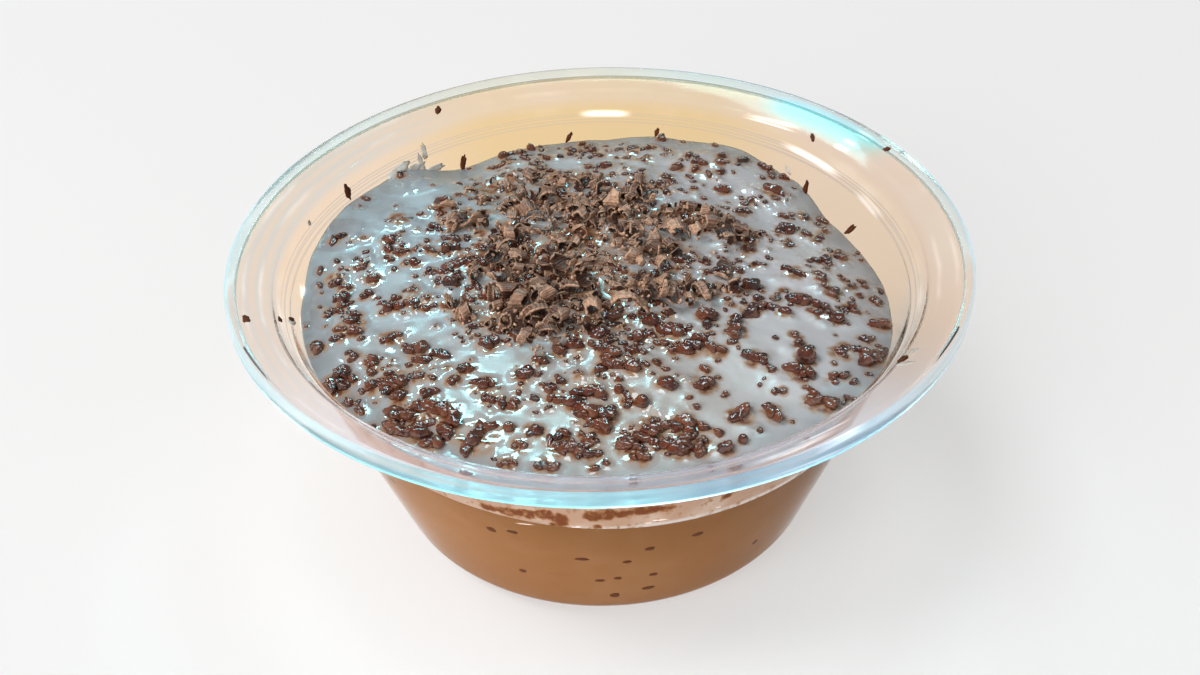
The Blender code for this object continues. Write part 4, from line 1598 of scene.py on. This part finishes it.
@dataclass(frozen=True)
class Cream:
    """The pale cream with its melted chocolate, beads, stains and the band that shows at the wall."""

    fill: Fill
    rings: int = 144
    steps: int = 520
    side_rows: int = 20
    pearl_count: int = 150
    pearl_reach: float = 43 * MM
    spread_count: int = 130
    field_density: float = 1.15
    large: float = 2.4 * MM
    middling: float = 1.3 * MM
    tallest: float = 1.9 * MM
    smears: tuple[Patch, ...] = (
        (490, 507, 10, 4), (508, 511, 12, 7), (527, 512, 12, 7), (545, 513, 10, 8), (561, 517, 9, 10),
        (592, 516, 8, 10), (606, 514, 12, 9), (622, 513, 8, 6), (644, 509, 20, 5), (667, 507, 8, 4),
        (728, 494, 6, 4), (556, 524, 5, 3), (597, 525, 4, 3),
    )

    def bits(self) -> list[Bit]:
        """All bits and beads on the cream.

        Returns:
            Those that the photograph shows, and small ones between them.
        """
        draw = random.Random(SEEDS["bits"])
        found = [self.seen_bit(pixels, draw, BitKind.MELTED) for pixels in (*LARGE_BITS, *LEVEL_BITS)]
        found += [self.seen_bit(pixels, draw, BitKind.SUNK) for pixels in SUNK_BITS]
        for across, down, length, breadth, turn in SLANTED_BITS:
            place = self.place_on((across, down), 0.4 * breadth)
            size = breadth * ON_CREAM
            lying = (min(size, self.tallest), math.radians(turn), BitKind.MELTED)
            found.append(Bit(place, length * ON_CREAM, size, *lying))
        for across, down, width in BEADS:
            size = width * ON_CREAM
            found.append(Bit(self.place_on((across, down), width), size, size, size, 0.0, BitKind.BEAD))
        found += self.field_bits(draw)
        found += self.spread_bits(found, draw)
        return found

    def place_on(self, pixel: Pixel, width: float) -> Vector:
        """Where a pixel's bit, of a width in pixels, lies on the cream and clear of the wall."""
        return self.fill.kept_on(self.fill.on_cream(pixel), 0.5 * width * ON_CREAM + 0.3 * MM)

    def seen_bit(self, pixels: Patch, draw: random.Random, kind: BitKind) -> Bit:
        """A bit from its width and height in the photograph.

        Args:
            pixels: Across, down, width and height.
            draw: Source of the small differences.
            kind: How it lies.

        Returns:
            The bit.
        """
        across, down, width, tall = pixels
        place = self.place_on((across, down), 0.8 * width)
        length = width * ON_CREAM
        seen = tall * ON_CREAM
        height = min(0.62 * seen, 0.5 * length, self.tallest)
        breadth = max((seen - 0.62 * height) / 0.6, 0.5 * height)
        return Bit(place, length, breadth, height, math.radians(draw.uniform(-14, 14)), kind)

    def field_bits(self, draw: random.Random) -> list[Bit]:
        """Small bits where they lie close together.

        Args:
            draw: Source of the places and sizes.

        Returns:
            The bits.
        """
        made = []
        for *patch, count in BIT_FIELDS:
            for _ in range(round(count * self.field_density)):
                made.append(self.small_bit(self.place_on(drawn_in(patch, draw), 6.0), draw))
        return made

    @staticmethod
    def small_bit(place: Vector, draw: random.Random) -> Bit:
        """A small bit.

        Args:
            place: Where it lies.
            draw: Source of its size, turn and kind.

        Returns:
            The bit.
        """
        length = draw.triangular(0.6, 2.3, 1.05) * MM
        breadth = length * draw.uniform(0.5, 0.9)
        kind = BitKind.SUNK if draw.random() < 0.25 else BitKind.MELTED
        return Bit(place, length, breadth, 0.75 * breadth, draw.uniform(0, math.pi), kind)

    def spread_bits(self, taken: Sequence[Bit], draw: random.Random) -> list[Bit]:
        """Small bits in the space that is left.

        Args:
            taken: The bits that are already there.
            draw: Source of the places and sizes.

        Returns:
            The small bits.
        """
        made: list[Bit] = []
        while len(made) < self.spread_count:
            angle = draw.uniform(0, math.tau)
            radius = self.fill.edge_radius(angle) * math.sqrt(draw.random())
            place = self.fill.kept_on(Vector((*polar(radius, angle), 0.0)), 0.8 * MM)
            bit = self.small_bit(place, draw)
            if not any(self.touch(bit, other) for other in (*taken, *made)):
                made.append(bit)
        return made

    @staticmethod
    def touch(bit: Bit, other: Bit) -> bool:
        """Whether two bits would touch."""
        return (bit.place.xy - other.place.xy).length < 0.45 * (bit.length + other.length)

    def build(self, bits: Sequence[Bit]) -> Object:
        """Makes the cream: a dome with pearls under its skin, its side at the wall and its underside.

        Args:
            bits: What lies in it.

        Returns:
            The cream.
        """
        turns = [math.tau * step / self.steps for step in range(self.steps)]
        edges = [(self.fill.edge_radius(turn), turn) for turn in turns]
        corners = [(0.0, 0.0)]
        for ring in range(1, self.rings + 1):
            corners += [polar(edge * (ring / self.rings), turn) for edge, turn in edges]
        flat = np.array(corners)
        stain, near = self.nearness(flat, bits)
        # Under the curl clusters the cream is browned: partly melted chocolate, partly painted shade between
        # the curls.
        stain = np.maximum(stain, 0.75 * self.covered(flat, [cluster[:4] for cluster in CURL_CLUSTERS]))
        near = np.maximum(near, 0.8 * self.covered(flat, RIPPLED)) * (1 - self.calm(flat))
        heights = np.array([self.fill.top(across, away) for across, away in corners])
        heights += self.relief(flat, near)
        side = []
        for share in [row / self.side_rows for row in range(1, self.side_rows + 1)]:
            for turn in turns:
                height = self.fill.edge(turn) * (1 - share) + self.fill.line(turn) * share
                radius = self.fill.cup.wall_radius(height, self.fill.into_wall)
                side.append((*polar(radius, turn), height))
        top = [(*corner, height) for corner, height in zip(corners, heights)]
        solid = [*top, *side, (0.0, 0.0, self.fill.pudding_height)]
        mesh = mesh_of("pale_cream", solid, self.faces(len(solid)))
        below = len(solid) - len(top)
        keep_numbers(mesh, "stain", "FLOAT", [*stain, *[0.0] * below])
        keep_numbers(mesh, "near", "FLOAT", [*near, *[0.0] * below])
        keep_numbers(mesh, "smear", "FLOAT", [0.0] * len(top) + [*self.smeared(side), 0.0])
        parts = [ring / self.rings for ring in range(1, self.rings + 1) for _ in turns]
        keep_numbers(mesh, "rim", "FLOAT", [0.0, *parts, *[1.0] * below])
        mesh.materials.append(PaleCream().build())
        mesh.materials.append(CreamAtWall().build())
        for face in mesh.polygons:
            face.material_index = int(min(face.vertices) >= len(top) - self.steps)
        face_outwards(mesh)
        mesh.shade_smooth()
        return ride(shown("pale_cream", mesh), "cream", "cream")

    def faces(self, count: int) -> list[tuple[int, ...]]:
        """Faces of the cream's rings, from the middle of the top to the middle of the underside.

        Args:
            count: Number of corners.

        Returns:
            The corners of each face.
        """
        rows = self.rings + self.side_rows - 1
        last = 1 + rows * self.steps
        faces = [(0, 1 + step, 1 + (step + 1) % self.steps) for step in range(self.steps)]
        faces += ring_faces(1, rows, self.steps)
        faces += [(last + step, count - 1, last + (step + 1) % self.steps) for step in range(self.steps)]
        return faces

    def relief(self, flat: np.ndarray, near: np.ndarray) -> np.ndarray:
        """Pearls that push up the skin, and the unevenness that is strongest near bits.

        Args:
            flat: Places across and away.
            near: How near to a bit each place is, from 0 to 1.

        Returns:
            What they add to the height.
        """
        draw = random.Random(SEEDS["pearls"])
        added = np.zeros(len(flat))
        for _ in range(self.pearl_count):
            angle = draw.uniform(0, math.tau)
            centre = np.array(polar(self.pearl_reach * math.sqrt(draw.random()), angle))
            size = draw.uniform(1.3, 1.9) * MM
            apart = np.linalg.norm(flat - centre, axis=1) / size
            added = np.maximum(added, draw.uniform(0.2, 0.42) * MM * np.exp(-(apart**2) * 1.6))
        rough = [self.roughness_at(across / MM, away / MM) for across, away in flat]
        radius = np.linalg.norm(flat, axis=1)
        inside = np.clip((46 * MM - radius) / (3 * MM), 0.0, 1.0)
        return added + MM * (np.array(rough) * (0.05 + 0.95 * near) + 0.20 * near) * inside

    @staticmethod
    def roughness_at(across: float, away: float) -> float:
        """Unevenness of the wet skin in millimetres, at a place in millimetres."""
        broad = noise.noise(Vector((across / 2.1, away / 2.1, 0.0)))
        return 0.34 * broad + 0.17 * noise.noise(Vector((across / 0.95, away / 0.95, 7.0)))

    @staticmethod
    def nearness(flat: np.ndarray, bits: Sequence[Bit]) -> tuple[np.ndarray, np.ndarray]:
        """How much the cream is browned near bits, and how much it is drawn up to them.

        Args:
            flat: Places across and away.
            bits: The bits.

        Returns:
            Both shares, from 0 to 1.
        """
        stain = np.zeros(len(flat))
        near = np.zeros(len(flat))
        for bit in bits:
            apart = np.linalg.norm(flat - np.array(bit.place.xy), axis=1)
            reach = 0.30 * (bit.length + bit.breadth)
            beyond = np.maximum(apart - 0.6 * reach, 0.0) / (0.35 * reach + 0.40 * MM)
            weight = 0.75 if bit.length > 1.6 * MM else 0.45
            stain = np.maximum(stain, weight * np.exp(-(beyond**2)))
            near = np.maximum(near, np.exp(-((apart / (0.58 * bit.length + 0.5 * MM)) ** 2)))
        return stain, near

    @staticmethod
    def calm(flat: np.ndarray) -> np.ndarray:
        """How still the cream lies: most at the right front, a little along the front.

        Args:
            flat: Places across and away.

        Returns:
            The share at each, from 0 to 1.
        """
        across, away = flat[:, 0] / MM, flat[:, 1] / MM
        right_front = np.clip((across - 2) / 18, 0.0, 1.0) * np.clip((2 - away) / 14, 0.0, 1.0)
        along_front = np.clip((-24 - away) / 12, 0.0, 1.0)
        return np.maximum(0.75 * right_front, 0.4 * along_front)

    def covered(self, flat: np.ndarray, patches: Sequence[Sequence[float]]) -> np.ndarray:
        """How far each place lies within patches that the photograph shows.

        Args:
            flat: Places across and away.
            patches: Pixel across and down, half width and half height.

        Returns:
            The share at each, from 0 to 1.
        """
        most = np.zeros(len(flat))
        for across, down, half_width, half_height in patches:
            centre = self.fill.on_cream((across, down))
            scale = np.array((half_width, half_height / 0.6)) * ON_CREAM
            apart = np.linalg.norm((flat - np.array(centre[:2])) / scale, axis=1)
            most = np.maximum(most, np.clip(1.5 - apart, 0.0, 1.0))
        return most

    def smeared(self, side: Sequence[tuple[float, float, float]]) -> np.ndarray:
        """How much chocolate is smeared on the wall between it and the cream's side.

        Args:
            side: Places on the cream's side.

        Returns:
            The share at each, from 0 to 1.
        """
        places = np.array(side)
        most = np.zeros(len(places))
        for across, down, half_width, half_height in self.smears:
            apart = places - np.array(self.fill.on_wall((across, down)))
            level = np.linalg.norm(apart[:, :2], axis=1) / (half_width * ON_WALL)
            upright = apart[:, 2] / (half_height * ON_WALL * 1.35)
            most = np.maximum(most, np.clip(1.6 - level**2 - upright**2, 0.0, 1.0))
        return most

    def build_bits(self, bits: Sequence[Bit]) -> list[Object]:
        """Makes the melted bits, large and small, and the beads.

        Args:
            bits: What lies in the cream.

        Returns:
            The pieces.
        """
        finish = MeltedChocolate().build()
        draw = random.Random(SEEDS["lumps"])
        names = ("melted_bits", "small_bits", "fine_bits", "tapioca_beads")
        groups: dict[str, list[Placement]] = {name: [] for name in names}
        for bit in bits:
            if bit.kind is BitKind.BEAD:
                groups["tapioca_beads"].append(self.placement(bit, draw))
            elif bit.length > self.large:
                groups["melted_bits"] += self.lumps(bit, draw)
            elif bit.length > self.middling:
                groups["small_bits"] += self.lumps(bit, draw)
            else:
                groups["fine_bits"].append(self.placement(bit, draw))
        made = []
        for name, placements in groups.items():
            unevenness = 0.05 if name == "tapioca_beads" else 0.5
            fineness = 3 if name in ("melted_bits", "tapioca_beads") else 2
            shapes = lump_meshes(name, 8, fineness, unevenness, 1.1, 20)
            made.append(ride(scattered(name, placements, shapes, finish), "chocolate"))
        return made

    def lumps(self, bit: Bit, draw: random.Random) -> list[Placement]:
        """A bit's lumps, which have run together.

        Args:
            bit: The bit.
            draw: Source of the small differences.

        Returns:
            The lumps' placements.
        """
        lump = min(max(0.95 * bit.breadth, 1.0 * MM), 2.2 * MM, 0.8 * bit.length)
        count = max(round(bit.length * max(bit.breadth, lump) / (lump * lump) * 1.35), 2)
        made = []
        for number in range(count):
            along = ((number + 0.5) / count - 0.5) * max(bit.length - 0.7 * lump, 0.0)
            beside = draw.uniform(-0.5, 0.5) * max(bit.breadth - 0.7 * lump, 0.0)
            across = along * math.cos(bit.turn) - beside * math.sin(bit.turn)
            away = along * math.sin(bit.turn) + beside * math.cos(bit.turn)
            place = self.fill.kept_on(bit.place + Vector((across, away, 0.0)), 0.4 * lump)
            length = lump * draw.uniform(0.8, 1.35)
            breadth = lump * draw.uniform(0.6, 0.95)
            turn = bit.turn + draw.uniform(-0.9, 0.9)
            made.append(self.placement(Bit(place, length, breadth, 0.95 * breadth, turn, bit.kind), draw))
        return made

    @staticmethod
    def placement(bit: Bit, draw: random.Random) -> Placement:
        """How a bit is set into the cream.

        Args:
            bit: The bit.
            draw: Source of the small differences.

        Returns:
            The placement.
        """
        rises = {BitKind.MELTED: draw.uniform(0.08, 0.34), BitKind.SUNK: -0.12, BitKind.BEAD: 0.2}
        place = bit.place + Vector((0.0, 0.0, rises[bit.kind] * bit.height))
        turn = Euler((draw.uniform(-0.35, 0.35), draw.uniform(-0.35, 0.35), bit.turn))
        size = (bit.length, bit.breadth, 1.1 * bit.height)
        return Placement(place, turn, size, draw.randrange(8), draw.random())


# The dry curls


class CurlKind(Enum):
    """How a grated piece has curled."""

    ROLL = "roll"
    SHELL = "shell"
    RIBBON = "ribbon"
    SPLINTER = "splinter"


@dataclass(frozen=True)
class Curl:
    """Sizes of one grated curl about 1 wide, before it is scaled."""

    kind: CurlKind
    seed: int
    rows: int = 18
    columns: int = 5
    thickness: float = 0.10
    ridge: float = 0.020

    def build(self) -> Mesh:
        """Rolls up a short strip with ragged edges.

        Returns:
            The mesh, with its UV map running along the roll and across it.
        """
        draw = random.Random(self.seed)
        bend, radius, width = {
            CurlKind.ROLL: (draw.uniform(280, 460), draw.uniform(0.24, 0.31), draw.uniform(0.45, 0.75)),
            CurlKind.SHELL: (draw.uniform(140, 230), draw.uniform(0.32, 0.42), draw.uniform(0.55, 0.85)),
            CurlKind.RIBBON: (draw.uniform(150, 260), draw.uniform(0.36, 0.5), draw.uniform(0.22, 0.38)),
            CurlKind.SPLINTER: (draw.uniform(60, 130), draw.uniform(0.6, 0.9), draw.uniform(0.26, 0.40)),
        }[self.kind]
        climb = draw.uniform(0.1, 0.55)
        shift = draw.uniform(0, 50)
        widening = draw.uniform(0.05, 0.7)
        shape = bmesh.new()
        layout = shape.loops.layers.uv.new("UVMap")
        grid = []
        for row in range(self.rows):
            along = row / (self.rows - 1)
            line = []
            for column in range(self.columns):
                beside = column / (self.columns - 1) - 0.5
                ragged = 1 + 0.55 * noise.noise(Vector((along * 5.5, math.copysign(4.0, beside), shift)))
                ends = 1 - 0.5 * abs(2 * along - 1) ** 3
                uneven = 1 + 0.25 * noise.noise(Vector((along * 3, beside * 2, shift + 9)))
                here = radius * (1 + widening * along) * uneven + self.ridge * math.sin(along * 50)
                angle = math.radians(bend) * along
                aside = beside * ragged * ends * width + climb * along
                line.append(shape.verts.new((here * math.sin(angle), aside, here * (1 - math.cos(angle)))))
            grid.append(line)
        self.skin(shape, grid, layout)
        shape.normal_update()
        bmesh.ops.solidify(shape, geom=list(shape.faces), thickness=self.thickness)
        bmesh.ops.recalc_face_normals(shape, faces=list(shape.faces))
        hollow = self.hollow(shape, radius)
        centre = sum((corner.co for corner in shape.verts), Vector()) / len(shape.verts)
        bmesh.ops.translate(shape, verts=list(shape.verts), vec=-centre)
        mesh = bpy.data.meshes.new(f"curl_{self.seed:02d}")
        shape.to_mesh(mesh)
        shape.free()
        keep_numbers(mesh, "hollow", "FLOAT", hollow)
        return mesh

    @staticmethod
    def hollow(shape: bmesh.types.BMesh, radius: float) -> list[float]:
        """Which corners lie on the inside of the roll, which the finish darkens as painted shade.

        Args:
            shape: The strip, with its thickness; its second half of corners is its second skin.
            radius: The roll's radius.

        Returns:
            1 for each corner on the inside and 0 for the others.
        """
        reach = [math.hypot(corner.co.x, corner.co.z - radius) for corner in shape.verts]
        half = len(reach) // 2
        first_inside = sum(reach[:half]) < sum(reach[half:])
        return [float((number < half) == first_inside) for number in range(len(reach))]

    def skin(
        self, shape: bmesh.types.BMesh, grid: Sequence[Sequence[bmesh.types.BMVert]], layout: object
    ) -> None:
        """Joins the strip's corners with faces.

        Args:
            shape: The strip.
            grid: Its corners, row by row.
            layout: Its UV layer.
        """
        around = ((0, 0), (0, 1), (1, 1), (1, 0))
        for row in range(self.rows - 1):
            for column in range(self.columns - 1):
                face = shape.faces.new([grid[row + down][column + right] for down, right in around])
                for loop, (down, right) in zip(face.loops, around):
                    loop[layout].uv = ((row + down) / (self.rows - 1), (column + right) / (self.columns - 1))


# Dry curls that stand out in the photograph, as pixels: across, down and width.
SEEN_CURLS = (
    (511, 234, 24), (548, 229, 22), (560, 240, 18), (584, 214, 24), (613, 201, 20), (636, 190, 18),
    (648, 196, 20), (618, 223, 22), (634, 230, 20), (649, 221, 14), (676, 228, 18), (697, 228, 18),
    (712, 222, 20), (722, 232, 18), (742, 229, 20), (500, 275, 22), (545, 268, 20), (565, 262, 20),
    (583, 276, 20),
    (508, 288, 24), (572, 287, 26), (544, 299, 20), (532, 313, 26), (506, 319, 20), (549, 328, 18),
    (555, 340, 16), (525, 337, 20), (594, 306, 24), (466, 311, 20), (468, 219, 24), (445, 203, 18),
    (480, 201, 16), (526, 209, 20), (547, 192, 26), (530, 175, 20), (632, 255, 18), (670, 244, 16),
    (660, 290, 24), (700, 288, 26), (736, 287, 24), (724, 270, 20), (661, 262, 14), (628, 300, 26),
    (575, 185, 20), (600, 190, 16), (705, 212, 20), (690, 205, 14), (560, 315, 20), (520, 300, 24),
)

# Clusters of smaller dry curls, as pixels: across, down, half width, half height and count.
CURL_CLUSTERS = (
    (512, 235, 24, 18, 14), (530, 262, 38, 20, 26), (525, 292, 44, 20, 30), (525, 318, 42, 18, 28),
    (565, 288, 30, 22, 18), (575, 240, 38, 22, 22), (540, 205, 44, 14, 20), (595, 205, 40, 14, 24),
    (640, 190, 26, 12, 14), (625, 218, 30, 12, 14), (690, 218, 42, 14, 26), (735, 232, 24, 10, 10),
    (628, 235, 18, 10, 6), (655, 250, 34, 12, 10), (640, 285, 34, 12, 16), (690, 290, 36, 10, 16),
    (600, 265, 26, 14, 10), (470, 218, 26, 12, 10), (480, 262, 22, 14, 8), (462, 308, 16, 12, 6),
    (560, 180, 44, 10, 14), (600, 320, 30, 14, 6), (600, 300, 22, 10, 6), (500, 190, 30, 10, 8),
)

# Flakes that cling to the cup, as pixels and degrees: across, down, length, breadth and turn on the wall.
STRAY_FLAKES = (
    (246, 320, 12, 7, 0), (279, 320, 7, 5, 20), (291, 320, 6, 5, 60), (343, 395, 9, 4, 80),
    (347, 192, 17, 8, 70), (463, 163, 18, 6, 70), (438, 111, 13, 6, 50), (569, 137, 12, 5, 60),
    (657, 132, 9, 5, 80), (806, 189, 18, 6, 95), (851, 230, 19, 6, 55), (903, 360, 14, 6, -15),
    (813, 138, 10, 5, -40), (887, 150, 8, 6, 40),
)

# Thin cream that clings to the cup above the rest, given in the same way.
WALL_CREAM = (
    (424, 152, 18, 6, 80), (421, 163, 20, 6, 88), (398, 171, 34, 9, 12), (413, 169, 30, 8, 5),
    (309, 223, 6, 5, 20), (434, 169, 26, 6, 0), (788, 170, 12, 4, -40), (911, 352, 13, 7, -35),
    (905, 364, 16, 6, -60), (292, 322, 10, 8, 10),
)


@dataclass(frozen=True)
class ThinCream:
    """A thin smear of cream that has begun to dry on the plastic."""

    thin: Colour = (0.60, 0.53, 0.44)
    thick: Colour = (0.70, 0.68, 0.63)

    def build(self) -> Material:
        """Makes the material.

        Returns:
            The material.
        """
        dye = Dye("thin_cream")
        colour = dye.mix(dye.noise(1.2 * MM, 2.0).rise(0.35, 0.65), self.thin, self.thick)
        relief = dye.bump(dye.noise(0.8 * MM), 0.1 * MM)
        return dye.coated(base_color=colour, roughness=0.3, specular_ior_level=0.4, normal=relief)


@dataclass(frozen=True)
class Heap:
    """The loose heap of dry curls on the middle of the cream, and the flakes that strayed onto the cup."""

    fill: Fill
    top_height: float = 46.45 * MM
    kinds: tuple[CurlKind, ...] = (
        CurlKind.ROLL, CurlKind.SHELL, CurlKind.SHELL, CurlKind.RIBBON, CurlKind.ROLL, CurlKind.SHELL,
    )
    variants: int = 18
    density: float = 1.15
    crumbs_per_curl: int = 3
    flake_thickness: float = 0.45 * MM
    smear_thickness: float = 0.14 * MM

    def placements(self) -> list[Placement]:
        """Drops the curls one by one, each onto those below it.

        Returns:
            Their placements; the curls that stand out lie on top.
        """
        draw = random.Random(SEEDS["curls"])
        made: list[Placement] = []
        # Painted shade: the cluster curls, which lie lower in the heap, reach only three quarters of the
        # paleness of the curls on top.
        for *patch, count in CURL_CLUSTERS:
            for _ in range(round(count * self.density)):
                pixel = drawn_in(patch, draw)
                made.append(self.dropped(pixel, made, draw, draw.triangular(1.1, 2.9, 1.7) * MM, 0.75))
        for across, down, width in SEEN_CURLS:
            made.append(self.dropped((across, down), made, draw, 1.02 * width * ON_CREAM, 1.0))
        return made

    def dropped(
        self, pixel: Pixel, below: Sequence[Placement], draw: random.Random, size: float, tone: float
    ) -> Placement:
        """One curl on the pile.

        Args:
            pixel: Where the photograph shows it.
            below: The curls that already lie there.
            draw: Source of its turn.
            size: Its width.
            tone: How pale it can be, from 0 to 1; the lower curls get less, as painted shade.

        Returns:
            The placement.
        """
        ground = self.fill.on_cream(pixel)
        floor = ground.z + 0.16 * size
        for other in below:
            if (other.place.xy - ground.xy).length < 0.4 * size + 0.25 * other.size[0]:
                floor = max(floor, other.place.z + 0.2 * size)
        place = self.fill.camera.raised(ground, min(floor + 0.08 * size, self.top_height - 0.5 * size))
        turn = Euler((draw.uniform(-0.5, 0.5), draw.uniform(0, math.tau), draw.uniform(0, math.tau)))
        scale = (size, size * draw.uniform(0.8, 1.2), size)
        return Placement(place, turn, scale, draw.randrange(self.variants), tone * draw.random())

    def crumbs(self, curls: Sequence[Placement]) -> list[Placement]:
        """Small crumbs that lie between the curls and just beside them.

        Args:
            curls: The curls.

        Returns:
            The crumbs' placements.
        """
        draw = random.Random(SEEDS["crumbs"])
        made = []
        for curl in curls:
            for _ in range(self.crumbs_per_curl):
                angle = draw.uniform(0, math.tau)
                reach = draw.uniform(0.2, 1.1) * curl.size[0]
                beside, beyond = polar(reach, angle)
                across = curl.place.x + beside
                away = curl.place.y + beyond
                size = draw.triangular(0.35, 1.0, 0.5) * MM
                height = self.fill.top(across, away) + 0.4 * size
                if reach < 0.6 * curl.size[0]:
                    height = max(height, curl.place.z)
                turn = Euler((draw.uniform(0, 3), draw.uniform(0, 3), draw.uniform(0, 3)))
                scale = (size, size * draw.uniform(0.5, 1.0), size * draw.uniform(0.4, 0.9))
                place = Vector((across, away, height))
                made.append(Placement(place, turn, scale, draw.randrange(4), draw.random()))
        return made

    def clinging(self, spots: Sequence[tuple[float, ...]], thickness: float) -> list[Placement]:
        """Small pieces that cling to the wall, the collar or the lip.

        Args:
            spots: Pixel across and down, length and breadth in pixels, and turn in degrees.
            thickness: How thick they are.

        Returns:
            Their placements.
        """
        camera = self.fill.camera
        tree = self.fill.cup.inner_tree()
        draw = random.Random(SEEDS["clinging"])
        made = []
        for *pixel, length, breadth, turn in spots:
            place, normal = camera.cast(pixel, tree)
            inward = normal if normal.dot(camera.ray(pixel)) < 0 else -normal
            level = Vector((0.0, 0.0, 1.0)).cross(inward).normalized()
            lengthwise = Matrix.Rotation(math.radians(turn), 3, inward) @ level
            facing = Matrix((lengthwise, inward.cross(lengthwise), inward)).transposed().to_euler()
            scale = (length * ON_CREAM, breadth * ON_CREAM, thickness)
            place = place + inward * 0.4 * thickness
            made.append(Placement(place, facing, scale, draw.randrange(4), draw.uniform(0.0, 0.5)))
        return made

    def build(self) -> list[Object]:
        """Makes the heap, its crumbs and the stray flakes.

        Returns:
            The pieces.
        """
        finish = DryChocolate().build()
        kinds = [self.kinds[number % len(self.kinds)] for number in range(self.variants)]
        shapes = [Curl(kind, number + 3).build() for number, kind in enumerate(kinds)]
        placements = self.placements()
        curls = scattered("dry_curls", placements, shapes, finish)
        face_outwards(curls.data)
        crumb_shapes = lump_meshes("crumb", 4, 1, 0.5, 1.4, 80)
        crumbs = scattered("dry_crumbs", self.crumbs(placements), crumb_shapes, finish)
        flake_shapes = lump_meshes("flake", 4, 3, 0.5, 1.4, 90)
        flake_finish = SpeckFinish("stray_flake", (0.075, 0.022, 0.010), (0.19, 0.062, 0.022)).build()
        spots = self.clinging(STRAY_FLAKES, self.flake_thickness)
        flakes = scattered("stray_flakes", spots, flake_shapes, flake_finish)
        spots = self.clinging(WALL_CREAM, self.smear_thickness)
        smears = scattered("wall_cream", spots, flake_shapes, ThinCream().build())
        made = [ride(curls, "chocolate", "shavings"), ride(crumbs, "chocolate"), ride(flakes, "chocolate")]
        return [*made, ride(smears, "cream")]


# Floor, lights and surroundings


@dataclass(frozen=True)
class AreaLight:
    """A soft light that looks at the cream."""

    name: str
    toward: tuple[float, float, float]
    distance: float
    size: tuple[float, float]
    power: float
    colour: Colour = WHITE
    lights_matt: bool = True
    shows_in_gloss: bool = True

    def build(self) -> None:
        """Makes the light."""
        data = bpy.data.lights.new(self.name, "AREA")
        data.shape = "RECTANGLE"
        data.size, data.size_y = self.size
        data.energy = self.power
        data.color = self.colour
        made = shown(self.name, data)
        direction = Vector(self.toward).normalized()
        made.location = Vector((0.0, 0.0, 40 * MM)) + direction * self.distance
        made.rotation_euler = direction.to_track_quat("Z", "Y").to_euler()
        made.visible_camera = False
        made.visible_diffuse = self.lights_matt
        made.visible_glossy = self.shows_in_gloss
        made.visible_transmission = self.shows_in_gloss


@dataclass(frozen=True)
class Studio:
    """The pale floor, the soft lights and the even surroundings."""

    floor_size: float = 6.0
    surroundings: float = 0.235
    surroundings_in_gloss: float = 0.15
    surroundings_through: float = 0.60
    lights: tuple[AreaLight, ...] = (
        AreaLight("key", (-0.57, -0.06, 0.82), 1.8, (0.7, 0.7), 15.5, shows_in_gloss=False),
        AreaLight(
            "window", (-0.10, 0.62, 0.78), 1.4, (0.30, 0.20), 3.8, (0.36, 0.90, 1.0), lights_matt=False
        ),
        AreaLight(
            "lamp_right", (0.50, 0.38, 0.78), 1.4, (0.22, 0.18), 3.2, (0.45, 0.9, 1.0), lights_matt=False
        ),
        AreaLight(
            "lamp_left", (-0.60, 0.42, 0.68), 1.4, (0.20, 0.16), 2.4, (0.45, 0.9, 1.0), lights_matt=False
        ),
        AreaLight(
            "overhead", (0.10, 0.10, 0.99), 1.4, (0.56, 0.46), 5.4, (0.75, 0.92, 1.0), lights_matt=False
        ),
        AreaLight("front", (-0.50, -0.75, 0.45), 1.6, (1.2, 0.8), 15.0, shows_in_gloss=False),
    )

    def build(self) -> None:
        """Makes the floor, the lights and the world."""
        half = self.floor_size / 2
        corners = [(-half, -half, 0.0), (half, -half, 0.0), (half, half, 0.0), (-half, half, 0.0)]
        floor = shown("floor", mesh_of("floor", corners, [(0, 1, 2, 3)]))
        floor.data.materials.append(PaleFloor().build())
        for light in self.lights:
            light.build()
        self.build_surroundings()
        bpy.context.scene.view_settings.view_transform = "Standard"

    def build_surroundings(self) -> None:
        """Makes the even light all round, which is brighter where it is seen through the cup."""
        world = bpy.data.worlds.new("surroundings")
        world.use_nodes = True
        sky = Network(world.node_tree)
        glossy = sky.add("ShaderNodeLightPath", None, None, "Is Glossy Ray")
        through = glossy.other("Is Transmission Ray") * (1.0 - glossy.other("Diffuse Depth").clamped())
        strength = glossy * (self.surroundings_in_gloss - self.surroundings) + self.surroundings
        strength = strength + through * (self.surroundings_through - self.surroundings)
        light = sky.add("ShaderNodeBackground", None, {"Color": WHITE, "Strength": strength})
        sky.add("ShaderNodeOutputWorld", None, {"Surface": light})
        bpy.context.scene.world = world


def main() -> None:
    """Builds every piece in turn."""
    logging.basicConfig(level=logging.INFO, format="%(name)s: %(message)s")
    camera = PhotoCamera()
    camera.build()
    cup = Cup()
    cup.build(camera)
    fill = Fill(cup, camera)
    pudding = Pudding(fill)
    pudding.build()
    pudding.build_specks()
    cream = Cream(fill)
    bits = cream.bits()
    cream.build(bits)
    cream.build_bits(bits)
    Heap(fill).build()
    Studio().build()


if __name__ == "__main__":
    main()
